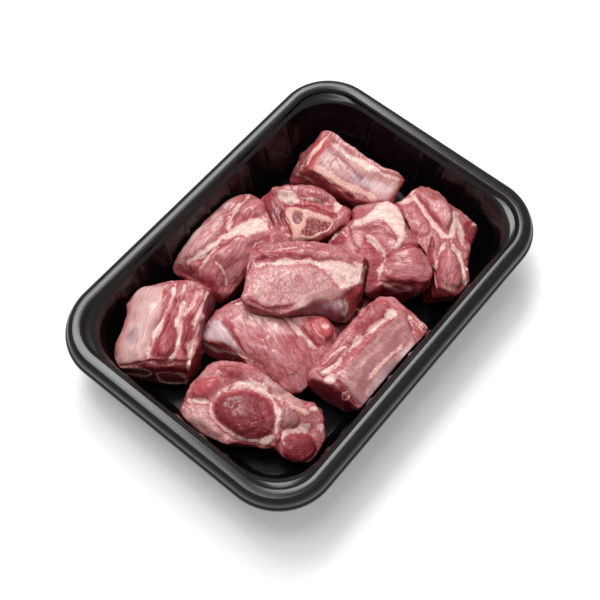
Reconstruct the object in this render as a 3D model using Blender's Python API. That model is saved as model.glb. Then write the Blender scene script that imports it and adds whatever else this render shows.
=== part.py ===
"""Pack of mutton: an open thermoformed tray that holds eleven pieces of bone-in meat.

Lengths in the tables below are millimetres. X runs along the tray, Y across it and Z up,
with the origin on the surface that the tray stands on, under its middle.
"""
import bmesh
import bpy
import numpy as np

MM = 0.001

# The tray: its outer lip, its flat flange, one sheet thickness all over.
LENGTH = 232.0
WIDTH = 167.0
HEIGHT = 41.0
SHEET = 1.0
LIP_DROP = 7.0
LIP_RADIUS = 32.0
LIP_EDGE = 1.2
LIP_LEAN = 0.2
FLANGE_START = 4.4
FLANGE_END = 8.8
FLANGE_CROWN = 0.2
FLANGE_ROUND = 0.1

# Points of the skirt outside the flange and of the step inside it, each as its inset
# from the lip and its drop from the tray's top.
SKIRT_FOOT = (1.2, 5.1)
SKIRT_TOP = (1.5, 2.4)
OUTER_SHOULDER = (2.6, 0.8)
INNER_SHOULDER = (9.9, 0.9)
STEP_TOP = (10.4, 2.8)
STEP_FOOT = (11.6, 3.4)
STEP_FOOT_RADIUS = 25.0

# The bowl of the tray below the flange, as insets from the lip and corner radii.
WALL_TOP_INSET = 12.4
WALL_TOP_DROP = 4.4
WALL_FOOT_INSET = 18.0
WALL_FOOT_HEIGHT = 9.5
WALL_RADIUS = 28.0
WALL_FOOT_RADIUS = 26.0
BEND_INSET = 20.2
BEND_HEIGHT = 3.6
BEND_RADIUS = 24.5
FLOOR_INSET = 24.5
FLOOR_RADIUS = 22.0
PANEL_INSET = 34.0
CORNER_STEPS = 6

# The upright ribs pressed into the walls.
RIB_PITCH = 17.0
RIBS_LONG_SIDE = 9
RIBS_SHORT_SIDE = 5
RIB_DEPTH = 0.9
RIB_FOOT_WIDTH = 4.0
RIB_CREST_WIDTH = 2.0
RIB_TOP_DROP = 8.0
RIB_FLOOR_SHARE = 0.7

# The meat: how far pieces keep from the tray and from each other, and their mesh.
WALL_GAP = 1.0
PIECE_GAP = 1.7
SQUARES = 8
EDGE_POWER = 6.0
FACE_GROWTH = 2.0
FOOT_GROWTH = 1.0
SIDE_BULGE = 0.03
OUTLINE_STEPS = 360
OUTLINE_SMOOTHING = 7
LIMIT_STEPS = 60

MEAT_RED = (0.42, 0.12, 0.13)
MEAT_PINK = (0.55, 0.22, 0.20)
FAT_CREAM = (0.78, 0.55, 0.47)
TRAY_BLACK = (0.012, 0.012, 0.014)

# Each piece: the outline of its upper face and of its foot, both seen from above, as
# (x, y, z) points in millimetres that run round it, the height of its middle, and bumps on
# its top as (x, y, radius, rise). A bent piece names the point that all its outline can be
# seen from. Pieces earlier in the table keep their form where two meet.
PIECES = {
    "centre_slab": dict(
        face=[(-11, 29, 37), (-2, 31, 37), (8, 21, 38), (18, 8, 39), (25, -8, 38),
              (28, -15, 37), (26, -20, 36), (23, -20, 36), (11, -22, 36), (4, -15, 36),
              (-6, -9, 35), (-13, -7, 34), (-20, -4, 33), (-23, -2, 33), (-28, 7, 33),
              (-30, 16, 34), (-23, 22, 35)],
        foot=[(-14, 27, 22), (-3, 29, 20), (10, 18, 18), (22, 0, 17), (27, -16, 18),
              (18, -25, 17), (7, -29, 16), (-2, -31, 16), (-5, -22, 17), (-9, -14, 19),
              (-21, -3, 24), (-31, 12, 26), (-25, 20, 24)],
        middle=38.5, bumps=[], colour=MEAT_RED),
    "lower_chunk": dict(
        face=[(-57, 24, 20), (-51, 27, 22), (-43, 26, 24), (-31, 24, 26), (-18, 16, 26),
              (-8, -3, 24), (-8, -19, 22), (-8, -26, 21), (-13, -29, 20), (-24, -31, 18),
              (-38, -33, 15), (-48, -32, 12), (-49, -18, 15), (-51, -6, 18), (-51, 5, 20),
              (-53, 14, 21)],
        foot=[(-59, 22, 3), (-57, 14, 2), (-48, -5, 3), (-45, -16, 5), (-45, -30, 5),
              (-36, -33, 2), (-22, -29, 2), (-12, -27, 3), (-8, -14, 3), (-14, 4, 3),
              (-28, 18, 2), (-42, 26, 2)],
        middle=25.5, bumps=[], colour=MEAT_RED),
    "right_rib": dict(
        face=[(-40, -36, 27), (-16, -36, 29), (9, -36, 31), (17, -37, 31), (20, -46, 31),
              (20, -57, 31), (18, -66, 30), (17, -71, 29), (8, -69, 29), (-14, -69, 28),
              (-33, -69, 25), (-37, -68, 24), (-36, -61, 27), (-34, -51, 28), (-37, -43, 28)],
        foot=[(-38, -36, 2), (-38, -47, 2), (-36, -58, 2), (-30, -62, 2), (-10, -62, 2),
              (10, -62, 2), (18, -57, 2), (19, -46, 2), (16, -38, 2), (-8, -36, 2)],
        middle=31.0, bumps=[], colour=MEAT_PINK),
    "left_rib": dict(
        face=[(-62, 66, 27), (-57, 64, 28), (-50, 57, 30), (-42, 48, 32), (-38, 36, 31),
              (-56, 28, 31), (-71, 19, 29), (-76, 17, 27), (-82, 27, 28), (-89, 35, 28),
              (-99, 46, 22), (-92, 52, 23), (-79, 57, 25), (-71, 62, 26)],
        foot=[(-36, 34, 8), (-48, 32, 4), (-58, 25, 2), (-67, 19, 2), (-78, 17, 2),
              (-86, 28, 2), (-94, 44, 2), (-90, 52, 2), (-76, 58, 2), (-62, 61, 2),
              (-50, 56, 3), (-40, 46, 6)],
        middle=32.0, bumps=[], colour=MEAT_PINK),
    "loin_chunk": dict(
        face=[(-88, 7, 22), (-79, 10, 24), (-69, 9, 25), (-62, 3, 25), (-56, -7, 24),
              (-55, -14, 23), (-56, -24, 22), (-56, -34, 20), (-52, -41, 19),
              (-48, -46, 19), (-52, -53, 18), (-55, -57, 15), (-64, -60, 12),
              (-73, -60, 10), (-77, -54, 10), (-79, -47, 12), (-77, -43, 15),
              (-83, -35, 16), (-92, -24, 16), (-95, -12, 16), (-96, -1, 18), (-94, 4, 20)],
        foot=[(-92, -20, 2), (-81, -34, 2), (-76, -42, 2), (-76, -52, 2), (-71, -60, 2),
              (-62, -60, 2), (-54, -57, 2), (-48, -48, 2), (-49, -37, 2), (-50, -22, 2),
              (-56, 0, 2), (-70, 8, 2), (-84, 8, 2), (-93, 2, 2), (-95, -8, 2)],
        middle=24.0, bumps=[], colour=MEAT_RED, centre=(-72, -31)),
    "far_rib": dict(
        face=[(81, 51, 34), (83, 49, 35), (82, 38, 34), (81, 25, 33), (83, 14, 32),
              (87, 5, 31), (88, 0, 30), (78, -2, 29), (70, -4, 28), (65, 2, 28),
              (61, 14, 29), (59, 31, 30), (58, 44, 31)],
        foot=[(78, 63, 4), (62, 61, 3), (54, 57, 2), (58, 46, 2), (61, 32, 2), (65, 14, 2),
              (77, 9, 2), (86, 14, 2), (86, 30, 2), (85, 50, 2)],
        middle=33.0, bumps=[], colour=MEAT_PINK),
    "shoulder_chunk": dict(
        face=[(-31, 67, 20), (-18, 68, 24), (-5, 69, 26), (4, 69, 26), (15, 66, 27),
              (21, 64, 28), (25, 58, 29), (22, 51, 30), (14, 38, 31), (14, 28, 31),
              (9, 24, 30), (0, 31, 26), (-12, 33, 20), (-26, 33, 14), (-31, 34, 12),
              (-32, 44, 15), (-33, 56, 17), (-34, 64, 18)],
        foot=[(-32, 61, 2), (-31, 48, 2), (-30, 36, 2), (-22, 34, 2), (0, 31, 2),
              (14, 28, 2), (22, 44, 2), (24, 57, 2), (14, 61, 2), (-8, 62, 2)],
        middle=31.0, bumps=[(-24, 50, 9, 4)], colour=MEAT_RED),
    "fat_cap_chunk": dict(
        face=[(45, 8, 20), (50, 4, 24), (55, 11, 22), (60, 9, 25), (66, -1, 31),
              (68, -6, 32), (66, -13, 32), (61, -22, 32), (57, -27, 31), (56, -35, 30),
              (51, -48, 28), (45, -51, 26), (38, -46, 24), (33, -38, 24), (28, -30, 26),
              (22, -28, 22), (20, -19, 24), (23, -2, 22), (31, 8, 20)],
        foot=[(54, -42, 2), (48, -44, 2), (42, -43, 2), (35, -41, 2), (26, -30, 2),
              (24, -16, 2), (26, 0, 2), (36, 6, 2), (52, 8, 2), (62, 0, 2), (65, -16, 2),
              (60, -30, 2)],
        middle=32.0, bumps=[(44, -40, 8, 3)], colour=FAT_CREAM),
    "right_chunk": dict(
        face=[(72, -6, 26), (81, -9, 28), (90, -10, 29), (93, -21, 29), (90, -32, 28),
              (91, -38, 26), (92, -49, 20), (84, -51, 21), (79, -51, 25), (70, -56, 25),
              (61, -64, 24), (57, -67, 23), (52, -67, 22), (44, -55, 22), (51, -48, 25),
              (56, -36, 28), (63, -22, 28)],
        foot=[(57, -62, 2), (46, -54, 2), (40, -44, 2), (52, -34, 2), (60, -20, 2),
              (70, -8, 2), (86, -8, 2), (92, -22, 2), (88, -42, 2), (80, -52, 2),
              (66, -60, 2)],
        middle=30.5, bumps=[], colour=MEAT_PINK),
    "bone_chunk": dict(
        face=[(29, 56, 22), (38, 53, 25), (45, 41, 27), (48, 35, 28), (52, 25, 28),
              (49, 19, 27), (54, 12, 25), (48, 6, 24), (43, 11, 25), (34, 13, 24),
              (28, 16, 23), (21, 21, 22), (17, 25, 21), (20, 33, 22), (20, 41, 22),
              (23, 50, 20)],
        foot=[(20, 26, 2), (32, 18, 2), (48, 10, 2), (55, 16, 2), (54, 32, 2), (46, 48, 2),
              (32, 57, 2), (22, 52, 2), (17, 40, 2)],
        middle=27.0, bumps=[(44, 32, 7, 3)], colour=MEAT_RED),
    "under_chunk": dict(
        face=[(8, 0, 12), (20, -12, 13), (25, -26, 13), (11, -31, 12), (-6, -33, 11),
              (-12, -30, 10), (-8, -14, 11), (-2, -2, 12)],
        foot=[(8, 2, 2), (20, -10, 2), (24, -26, 2), (10, -32, 2), (-6, -33, 2),
              (-12, -30, 2), (-8, -14, 2), (-2, 0, 2)],
        middle=13.0, bumps=[], colour=MEAT_RED),
}


def clear_scene():
    """Take every object out of the file."""
    for item in list(bpy.data.objects):
        bpy.data.objects.remove(item, do_unlink=True)


def make_material(name, colour, roughness):
    """A plain finish with one colour and one roughness."""
    material = bpy.data.materials.new(name)
    material.use_nodes = True
    shader = material.node_tree.nodes["Principled BSDF"]
    shader.inputs["Base Color"].default_value = (*colour, 1.0)
    shader.inputs["Roughness"].default_value = roughness
    shader.inputs["Metallic"].default_value = 0.0
    return material


def add_object(name, points, faces, material):
    """Turn points in millimetres and faces into one object made of triangles."""
    mesh = bpy.data.meshes.new(name)
    mesh.from_pydata([tuple(float(v) * MM for v in p) for p in points], [], faces)
    shape = bmesh.new()
    shape.from_mesh(mesh)
    bmesh.ops.triangulate(shape, faces=shape.faces[:])
    bmesh.ops.recalc_face_normals(shape, faces=shape.faces[:])
    shape.to_mesh(mesh)
    shape.free()
    mesh.materials.append(material)
    item = bpy.data.objects.new(name, mesh)
    bpy.context.scene.collection.objects.link(item)
    return item


def rib_places(count):
    """Where the ribs stand along one side, from one end to the other."""
    return [(i - (count - 1) / 2) * RIB_PITCH for i in range(count)]


def rib_stations():
    """The places along one rib's width, each with its share of the rib's depth."""
    foot = RIB_FOOT_WIDTH / 2
    crest = RIB_CREST_WIDTH / 2
    return [(-foot, 0.0), (-crest, 1.0), (crest, 1.0), (foot, 0.0)]


def ring(inset, height, radius, rib_in=None, rib_up=0.0):
    """Points and running places of one rounded rectangle, with or without ribs."""
    half = (LENGTH / 2 - inset, WIDTH / 2 - inset)
    points = []
    places = []
    for side in range(4):
        turn = np.radians(90.0 * side)
        out = np.array([round(np.cos(turn)), round(np.sin(turn))])
        along = np.array([-out[1], out[0]])
        reach = half[0] if side % 2 == 0 else half[1]
        run = half[1] if side % 2 == 0 else half[0]
        if rib_in is not None:
            count = RIBS_SHORT_SIDE if side % 2 == 0 else RIBS_LONG_SIDE
            for middle in rib_places(count):
                for shift, share in rib_stations():
                    flat = out * (reach - rib_in * share) + along * (middle + shift)
                    points.append((*flat, height + rib_up * share))
                    places.append(side + 0.5 + 0.4 * (middle + shift) / run)
        centre = out * (reach - radius) + along * (run - radius)
        for step in range(CORNER_STEPS + 1):
            angle = turn + np.radians(90.0) * step / CORNER_STEPS
            flat = centre + radius * np.array([np.cos(angle), np.sin(angle)])
            points.append((*flat, height))
            places.append(side + 0.95 + 0.1 * step / CORNER_STEPS)
    return points, places


def stitch(first, first_places, second, second_places):
    """Triangles between two closed loops of vertex numbers, in step with their places."""
    faces = []
    i = 0
    j = 0
    while i < len(first) or j < len(second):
        next_i = first_places[i + 1] if i + 1 < len(first) else first_places[0] + 4.0
        next_j = second_places[j + 1] if j + 1 < len(second) else second_places[0] + 4.0
        a = first[i % len(first)]
        b = second[j % len(second)]
        if j >= len(second) or (i < len(first) and next_i <= next_j):
            faces.append((a, first[(i + 1) % len(first)], b))
            i += 1
        else:
            faces.append((a, second[(j + 1) % len(second)], b))
            j += 1
    return faces


def upper_profile():
    """Rings of the side that shows, from the lip's lower edge to the floor's panel."""
    slope = (WALL_FOOT_INSET - WALL_TOP_INSET) / (HEIGHT - WALL_TOP_DROP - WALL_FOOT_HEIGHT)
    rib_inset = WALL_TOP_INSET + slope * (RIB_TOP_DROP - WALL_TOP_DROP)
    low_depth = RIB_DEPTH * RIB_FLOOR_SHARE
    rim = [
        (0.0, LIP_DROP),
        (LIP_LEAN, LIP_DROP - LIP_EDGE),
        SKIRT_FOOT,
        SKIRT_TOP,
        OUTER_SHOULDER,
        (FLANGE_START, FLANGE_ROUND),
        ((FLANGE_START + FLANGE_END) / 2, 0.0),
        (FLANGE_END, FLANGE_CROWN),
        INNER_SHOULDER,
        STEP_TOP,
    ]
    plain = [(inset, HEIGHT - drop, LIP_RADIUS - inset) for inset, drop in rim]
    plain.append((STEP_FOOT[0], HEIGHT - STEP_FOOT[1], STEP_FOOT_RADIUS))
    ribbed = [
        (WALL_TOP_INSET, HEIGHT - WALL_TOP_DROP, WALL_RADIUS, 0.0, 0.0),
        (rib_inset, HEIGHT - RIB_TOP_DROP, WALL_RADIUS, RIB_DEPTH, 0.0),
        (WALL_FOOT_INSET, WALL_FOOT_HEIGHT, WALL_FOOT_RADIUS, RIB_DEPTH, 0.0),
        (BEND_INSET, BEND_HEIGHT, BEND_RADIUS, low_depth, low_depth),
        (FLOOR_INSET, SHEET, FLOOR_RADIUS, 0.0, low_depth),
        (PANEL_INSET, SHEET, FLOOR_RADIUS - PANEL_INSET + FLOOR_INSET, 0.0, 0.0),
    ]
    return plain, ribbed


def offset_profile(rows):
    """The same rings moved one sheet thickness to the side that doesn't show."""
    path = np.array([(inset, height) for inset, height, *_ in rows])
    moved = []
    for k, (inset, height, radius, *_) in enumerate(rows):
        before = path[k] - path[max(k - 1, 0)]
        after = path[min(k + 1, len(path) - 1)] - path[k]
        normals = []
        for run in (before, after):
            size = np.hypot(*run)
            if size > 0:
                normals.append(np.array([run[1], -run[0]]) / size)
        normal = sum(normals) / len(normals)
        normal = normal / np.dot(normal, normal)
        shift = normal * SHEET
        moved.append((inset + shift[0], max(height + shift[1], 0.0), radius - shift[0]))
    return moved


def make_tray(material):
    """The tray as one closed shell: its upper side, its lip and its under side."""
    plain, ribbed = upper_profile()
    under = offset_profile(plain + ribbed)
    under[0] = (SHEET, HEIGHT - LIP_DROP, LIP_RADIUS - SHEET)
    rows = [(*row, None, 0.0) for row in reversed(under)]
    rows += [(*row, None, 0.0) for row in plain] + ribbed
    points = []
    faces = []
    loops = []
    for row in rows:
        ring_points, places = ring(*row)
        start = len(points)
        points.extend(ring_points)
        loops.append((list(range(start, len(points))), places))
    for (first, first_places), (second, second_places) in zip(loops, loops[1:]):
        faces.extend(stitch(first, first_places, second, second_places))
    faces.append(loops[0][0])
    faces.append(loops[-1][0][::-1])
    return add_object("tray", points, faces, material)


def wall_distance(points):
    """How far points are inside the tray's hollow, from its walls and its floor."""
    wall_height = HEIGHT - WALL_TOP_DROP - WALL_FOOT_HEIGHT
    slope = (WALL_FOOT_INSET - WALL_TOP_INSET) / wall_height
    inset = WALL_FOOT_INSET - slope * (points[:, 2] - WALL_FOOT_HEIGHT) + RIB_DEPTH
    low = np.clip((WALL_FOOT_HEIGHT - points[:, 2]) / (WALL_FOOT_HEIGHT - SHEET), 0.0, 1.0)
    inset = inset + (FLOOR_INSET - WALL_FOOT_INSET) * 0.6 * low ** 3
    half_x = LENGTH / 2 - inset - WALL_RADIUS
    half_y = WIDTH / 2 - inset - WALL_RADIUS
    beyond_x = np.abs(points[:, 0]) - half_x
    beyond_y = np.abs(points[:, 1]) - half_y
    corner = np.hypot(np.maximum(beyond_x, 0.0), np.maximum(beyond_y, 0.0))
    side = WALL_RADIUS - corner - np.minimum(np.maximum(beyond_x, beyond_y), 0.0)
    return np.minimum(side, points[:, 2] - SHEET)


class Piece:
    """One piece of meat: a rounded form between the outlines of its face and its foot."""

    def __init__(self, face, foot, middle, bumps, colour, centre=None):
        face = np.array(face, float)
        foot = np.array(foot, float)
        plan_centre = self.middle_of(face[:, :2]) if centre is None else centre
        self.centre = np.array([*plan_centre, 0.0])
        self.face_reach, self.face_height = self.around(face, FACE_GROWTH)
        self.foot_reach, self.foot_height = self.around(foot, FOOT_GROWTH)
        self.middle = middle
        self.foot_middle = foot[:, 2].mean()
        self.centre[2] = (face[:, 2].mean() + self.foot_middle) / 2
        self.bumps = bumps
        self.colour = colour

    @staticmethod
    def middle_of(outline):
        """The middle of the area inside an outline."""
        ahead = np.roll(outline, -1, axis=0)
        cross = outline[:, 0] * ahead[:, 1] - ahead[:, 0] * outline[:, 1]
        return ((outline + ahead) * cross[:, None]).sum(axis=0) / (3.0 * cross.sum())

    def around(self, outline, growth):
        """Distance and height of an outline in every direction from the centre."""
        angles = np.linspace(0.0, 2.0 * np.pi, OUTLINE_STEPS, endpoint=False)
        heading = np.stack([np.cos(angles), np.sin(angles)], axis=1)
        start = outline[:, :2] - self.centre[:2]
        run = np.roll(start, -1, axis=0) - start
        rise = np.roll(outline[:, 2], -1) - outline[:, 2]
        reach = np.zeros(OUTLINE_STEPS)
        height = np.zeros(OUTLINE_STEPS)
        for p, r, z, dz in zip(start, run, outline[:, 2], rise):
            det = heading[:, 0] * -r[1] + heading[:, 1] * r[0]
            det = np.where(np.abs(det) < 1e-9, 1e-9, det)
            far = (p[0] * -r[1] + p[1] * r[0]) / det
            share = (heading[:, 0] * p[1] - heading[:, 1] * p[0]) / det
            hit = (share >= -1e-9) & (share <= 1.0 + 1e-9) & (far > reach)
            reach = np.where(hit, far, reach)
            height = np.where(hit, z + dz * share, height)
        window = np.hanning(OUTLINE_SMOOTHING + 2)[1:-1]
        window = window / window.sum()
        pad = OUTLINE_SMOOTHING // 2
        smooth = []
        for values in (reach + growth, height):
            wrapped = np.concatenate([values[-pad:], values, values[:pad]])
            smooth.append(np.convolve(wrapped, window, mode="valid"))
        return smooth

    def look_up(self, values, angle):
        """Read a table that runs once round the piece."""
        place = (angle / (2.0 * np.pi) % 1.0) * OUTLINE_STEPS
        low = np.floor(place).astype(int)
        share = place - low
        low = low % OUTLINE_STEPS
        return values[low] * (1.0 - share) + values[(low + 1) % OUTLINE_STEPS] * share

    def top_at(self, angle, rho, flat):
        """Height of the upper face."""
        spread = np.minimum(rho, 1.0) ** 2
        height = self.look_up(self.face_height, angle) * spread + self.middle * (1.0 - spread)
        for x, y, radius, rise in self.bumps:
            away = (flat[:, 0] - x) ** 2 + (flat[:, 1] - y) ** 2
            height = height + rise * np.exp(-away / (2.0 * radius ** 2))
        return height

    def foot_at(self, angle, rho):
        """Height of the under side."""
        spread = np.minimum(rho, 1.0) ** 2
        return self.look_up(self.foot_height, angle) * spread + self.foot_middle * (1.0 - spread)

    def reach_at(self, angle, level):
        """Distance of the side from the centre at a level from -1, foot, to 1, face."""
        share = (level + 1.0) / 2.0
        face = self.look_up(self.face_reach, angle)
        foot = self.look_up(self.foot_reach, angle)
        return (foot + (face - foot) * share) * (1.0 + SIDE_BULGE * (1.0 - level ** 2))

    def surface(self, directions):
        """Points of the outer surface, one for each direction on a ball."""
        angle = np.arctan2(directions[:, 1], directions[:, 0])
        flat = np.hypot(directions[:, 0], directions[:, 1])
        size = (flat ** EDGE_POWER + np.abs(directions[:, 2]) ** EDGE_POWER) ** (1 / EDGE_POWER)
        rho = flat / size
        level = directions[:, 2] / size
        reach = rho * self.reach_at(angle, level)
        plan = self.centre[:2] + np.stack([np.cos(angle), np.sin(angle)], 1) * reach[:, None]
        top = self.centre[2] + level * (self.top_at(angle, rho, plan) - self.centre[2])
        foot = self.centre[2] + level * (self.centre[2] - self.foot_at(angle, rho))
        return np.column_stack([plan, np.where(level > 0, top, foot)])

    def fullness(self, points):
        """Below 1 inside the piece, 1 on its surface and above 1 outside it."""
        away = points - self.centre
        angle = np.arctan2(away[:, 1], away[:, 0])
        flat = np.hypot(away[:, 0], away[:, 1])
        level = np.zeros(len(points))
        rho = np.zeros(len(points))
        for _ in range(3):
            rho = flat / self.reach_at(angle, np.clip(level, -1.0, 1.0))
            top = np.maximum(self.top_at(angle, rho, points) - self.centre[2], 1.0)
            foot = np.maximum(self.centre[2] - self.foot_at(angle, rho), 1.0)
            level = np.where(away[:, 2] > 0, away[:, 2] / top, away[:, 2] / foot)
        return (rho ** EDGE_POWER + np.abs(level) ** EDGE_POWER) ** (1 / EDGE_POWER)

    def distance(self, points):
        """Rough distance of points from the surface, below 0 inside."""
        step = 0.5
        here = self.fullness(points)
        slope = np.zeros(len(points))
        for axis in np.eye(3):
            slope += (self.fullness(points + axis * step) - here) ** 2
        return (here - 1.0) / np.maximum(np.sqrt(slope) / step, 0.01)


def ball_directions(squares):
    """Directions on a ball from a cube's six faces, and the quads between them."""
    count = squares + 1
    run = np.arange(count)
    a, b = np.meshgrid(run, run, indexing="ij")
    a = a.ravel()
    b = b.ravel()
    sides = []
    for axis in range(3):
        for end in (0, squares):
            grid = np.zeros((count * count, 3), int)
            grid[:, axis] = end
            grid[:, (axis + 1) % 3] = a if end else b
            grid[:, (axis + 2) % 3] = b if end else a
            sides.append(grid)
    corners = np.concatenate(sides)
    unique, numbers = np.unique(corners, axis=0, return_inverse=True)
    numbers = numbers.reshape(6, count, count)
    quads = np.stack([numbers[:, :-1, :-1], numbers[:, 1:, :-1],
                      numbers[:, 1:, 1:], numbers[:, :-1, 1:]], axis=-1).reshape(-1, 4)
    cube = np.tan(np.pi / 4 * (unique * 2.0 / squares - 1.0))
    return cube / np.linalg.norm(cube, axis=1)[:, None], quads


def keep_clear(points, piece, others):
    """Pull points back towards the piece's centre until they clear tray and neighbours."""
    run = points - piece.centre
    allowed = np.ones(len(points))
    open_way = np.ones(len(points), bool)
    for step in range(1, LIMIT_STEPS + 1):
        share = step / LIMIT_STEPS
        trial = piece.centre + run * share
        room = wall_distance(trial) - WALL_GAP
        for other in others:
            room = np.minimum(room, other.distance(trial) - PIECE_GAP)
        blocked = open_way & (room < 0)
        allowed[blocked] = share - 1.0 / LIMIT_STEPS
        open_way &= ~blocked
    return piece.centre + run * allowed[:, None]


def make_pieces(roughness):
    """All the pieces of meat, each fitted round those before it in the table."""
    directions, quads = ball_directions(SQUARES)
    placed = []
    for name, form in PIECES.items():
        piece = Piece(**form)
        points = keep_clear(piece.surface(directions), piece, placed)
        material = make_material(name + "_finish", piece.colour, roughness)
        add_object(name, points, [tuple(int(v) for v in q) for q in quads], material)
        placed.append(piece)


def main():
    """Build the pack."""
    clear_scene()
    make_tray(make_material("tray_plastic", TRAY_BLACK, 0.35))
    make_pieces(0.4)


if __name__ == "__main__":
    main()
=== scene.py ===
# %% [markdown]
# This lesson dresses a pack of mutton: a black tray that holds eleven pieces of meat.
# Each cell makes one thing, prints what it made, and uses only what the cells above made.
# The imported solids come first, because every finished piece takes the place of one of them.

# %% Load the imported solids
import itertools

import bpy
import numpy as np
from mathutils import Matrix, Vector


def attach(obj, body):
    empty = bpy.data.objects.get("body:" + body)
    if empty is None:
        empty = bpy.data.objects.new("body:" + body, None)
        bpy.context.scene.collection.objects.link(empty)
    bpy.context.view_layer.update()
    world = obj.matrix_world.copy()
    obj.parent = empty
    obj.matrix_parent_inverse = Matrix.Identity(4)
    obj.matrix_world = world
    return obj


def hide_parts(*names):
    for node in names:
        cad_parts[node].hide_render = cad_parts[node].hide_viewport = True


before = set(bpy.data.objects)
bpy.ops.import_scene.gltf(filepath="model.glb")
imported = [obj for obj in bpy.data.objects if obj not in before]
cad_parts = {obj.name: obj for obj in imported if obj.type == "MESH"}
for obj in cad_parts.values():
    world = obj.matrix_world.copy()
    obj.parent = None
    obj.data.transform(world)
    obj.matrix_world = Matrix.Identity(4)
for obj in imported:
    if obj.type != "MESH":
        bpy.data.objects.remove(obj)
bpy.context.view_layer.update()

print("nodes in the frame:", len(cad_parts))

# %% [markdown]
# All lengths in this script are millimetres, and one factor turns them into metres.
# Seams and membranes could be painted on each piece in its own space, but they are much
# easier to place as the photo shows them. So the photo's camera comes before the meat.
# Its place and its aim are in the tray's own frame, with the floor at height 0.

# %% The photo's camera
MM = 0.001
PHOTO_SIZE = 600
FOCAL_LENGTH = 70.28
SENSOR_WIDTH = 36.0
CAMERA_PLACE = np.array([-239.69, -183.64, 583.34])
CAMERA_AIM = np.array([-12.57, -6.56, 34.0])
CAMERA_ROLL = np.radians(1.67)

focal_pixels = FOCAL_LENGTH / SENSOR_WIDTH * PHOTO_SIZE
camera_back = (CAMERA_PLACE - CAMERA_AIM) / np.linalg.norm(CAMERA_PLACE - CAMERA_AIM)
level_right = np.cross([0.0, 0.0, 1.0], camera_back)
level_right = level_right / np.linalg.norm(level_right)
level_up = np.cross(camera_back, level_right)
camera_right = level_right * np.cos(CAMERA_ROLL) + level_up * np.sin(CAMERA_ROLL)
camera_up = level_up * np.cos(CAMERA_ROLL) - level_right * np.sin(CAMERA_ROLL)


def sight(points):
    """Where the photo shows points, in pixels from its upper left corner."""
    away = points - CAMERA_PLACE
    depth = -(away @ camera_back)
    across = PHOTO_SIZE / 2 + focal_pixels * (away @ camera_right) / depth
    down = PHOTO_SIZE / 2 - focal_pixels * (away @ camera_up) / depth
    return np.column_stack([across, down])


print("the tray's middle is seen at", sight(np.array([[0.0, 0.0, 34.0]])).round(1))

# %% [markdown]
# Meat is never smooth, and a displacement texture would hide its numbers from this script.
# So the noise is worked out here, from points, and it is the same on every run.
# Each whole-number cell gets its own fixed number, and places between cells blend them.

# %% Noise and softened steps
HASH_FACTORS = (73856093, 19349663, 83492791)
SEED_FACTOR = 668265263
HASH_MIX = 1274126177
LOW_BITS = 0xFFFF


def cell_number(cells, seed):
    """A fixed number from 0 to 1 for each whole-number cell."""
    mixed = np.full(len(cells), seed * SEED_FACTOR)
    for axis, factor in enumerate(HASH_FACTORS):
        mixed = mixed ^ (cells[:, axis] * factor)
    mixed = (mixed ^ (mixed >> 13)) * HASH_MIX
    return ((mixed ^ (mixed >> 16)) & LOW_BITS) / LOW_BITS


def soft_noise(points, size, seed):
    """Smooth noise from -1 to 1 whose lumps have the named size."""
    place = points / size
    low = np.floor(place).astype(np.int64)
    share = place - low
    share = share * share * (3.0 - 2.0 * share)
    total = np.zeros(len(points))
    for corner in itertools.product((0, 1), repeat=3):
        weight = np.prod(np.where(corner, share, 1.0 - share), axis=1)
        total += weight * cell_number(low + corner, seed)
    return total * 2.0 - 1.0


def soft_step(values, start, end):
    """0 below start, 1 above end, with a smooth rise between them."""
    share = np.clip((values - start) / (end - start), 0.0, 1.0)
    return share * share * (3.0 - 2.0 * share)


trial = soft_noise(np.random.default_rng(1).uniform(0, 99, (4000, 3)), 5.0, 3)
print("noise runs from", trial.min().round(2), "to", trial.max().round(2))

# %% [markdown]
# The real tray is one thin sheet, pressed warm into a mould: a flat flange with a lip, a small
# ledge, leaning ribbed walls and a flat floor. It could be a box with bevels and a Solidify.
# Rings along a path are used here instead, because the flange and ledge then have the
# section that the photo shows. The path's corners are rounded, so light runs over them in
# thin lines.

# %% The tray's rings
LENGTH = 232.0
WIDTH = 167.0
HEIGHT = 41.0
SHEET = 1.0
LIP_RADIUS = 32.0
LIP_SECTION = ((0.0, 7.0), (0.2, 5.8), (1.2, 5.1), (1.5, 2.4), (2.6, 0.8))
FLANGE_SECTION = ((4.4, 0.1), (6.6, 0.0), (8.8, 0.2), (9.9, 0.9), (10.4, 2.8))
LEDGE_INSET = 11.6
LEDGE_DROP = 3.4
LEDGE_RADIUS = 25.0
WALL_TOP_INSET = 12.4
WALL_TOP_DROP = 4.4
WALL_FOOT_INSET = 18.0
WALL_FOOT_HEIGHT = 9.5
WALL_RADIUS = 28.0
WALL_RADIUS_LOSS = 2.0
WALL_START = 1.2
FOOT_SECTION = ((20.2, 3.6, 24.5), (21.9, 1.9, 23.5))
FLOOR_INSET = 24.5
FLOOR_RADIUS = 22.0
FLOOR_RINGS = (24.5, 27.0, 30.0, 34.0)
WALL_RINGS = 18
WALL_SLOPE = (WALL_FOOT_INSET - WALL_TOP_INSET) / (HEIGHT - WALL_TOP_DROP - WALL_FOOT_HEIGHT)


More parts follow.
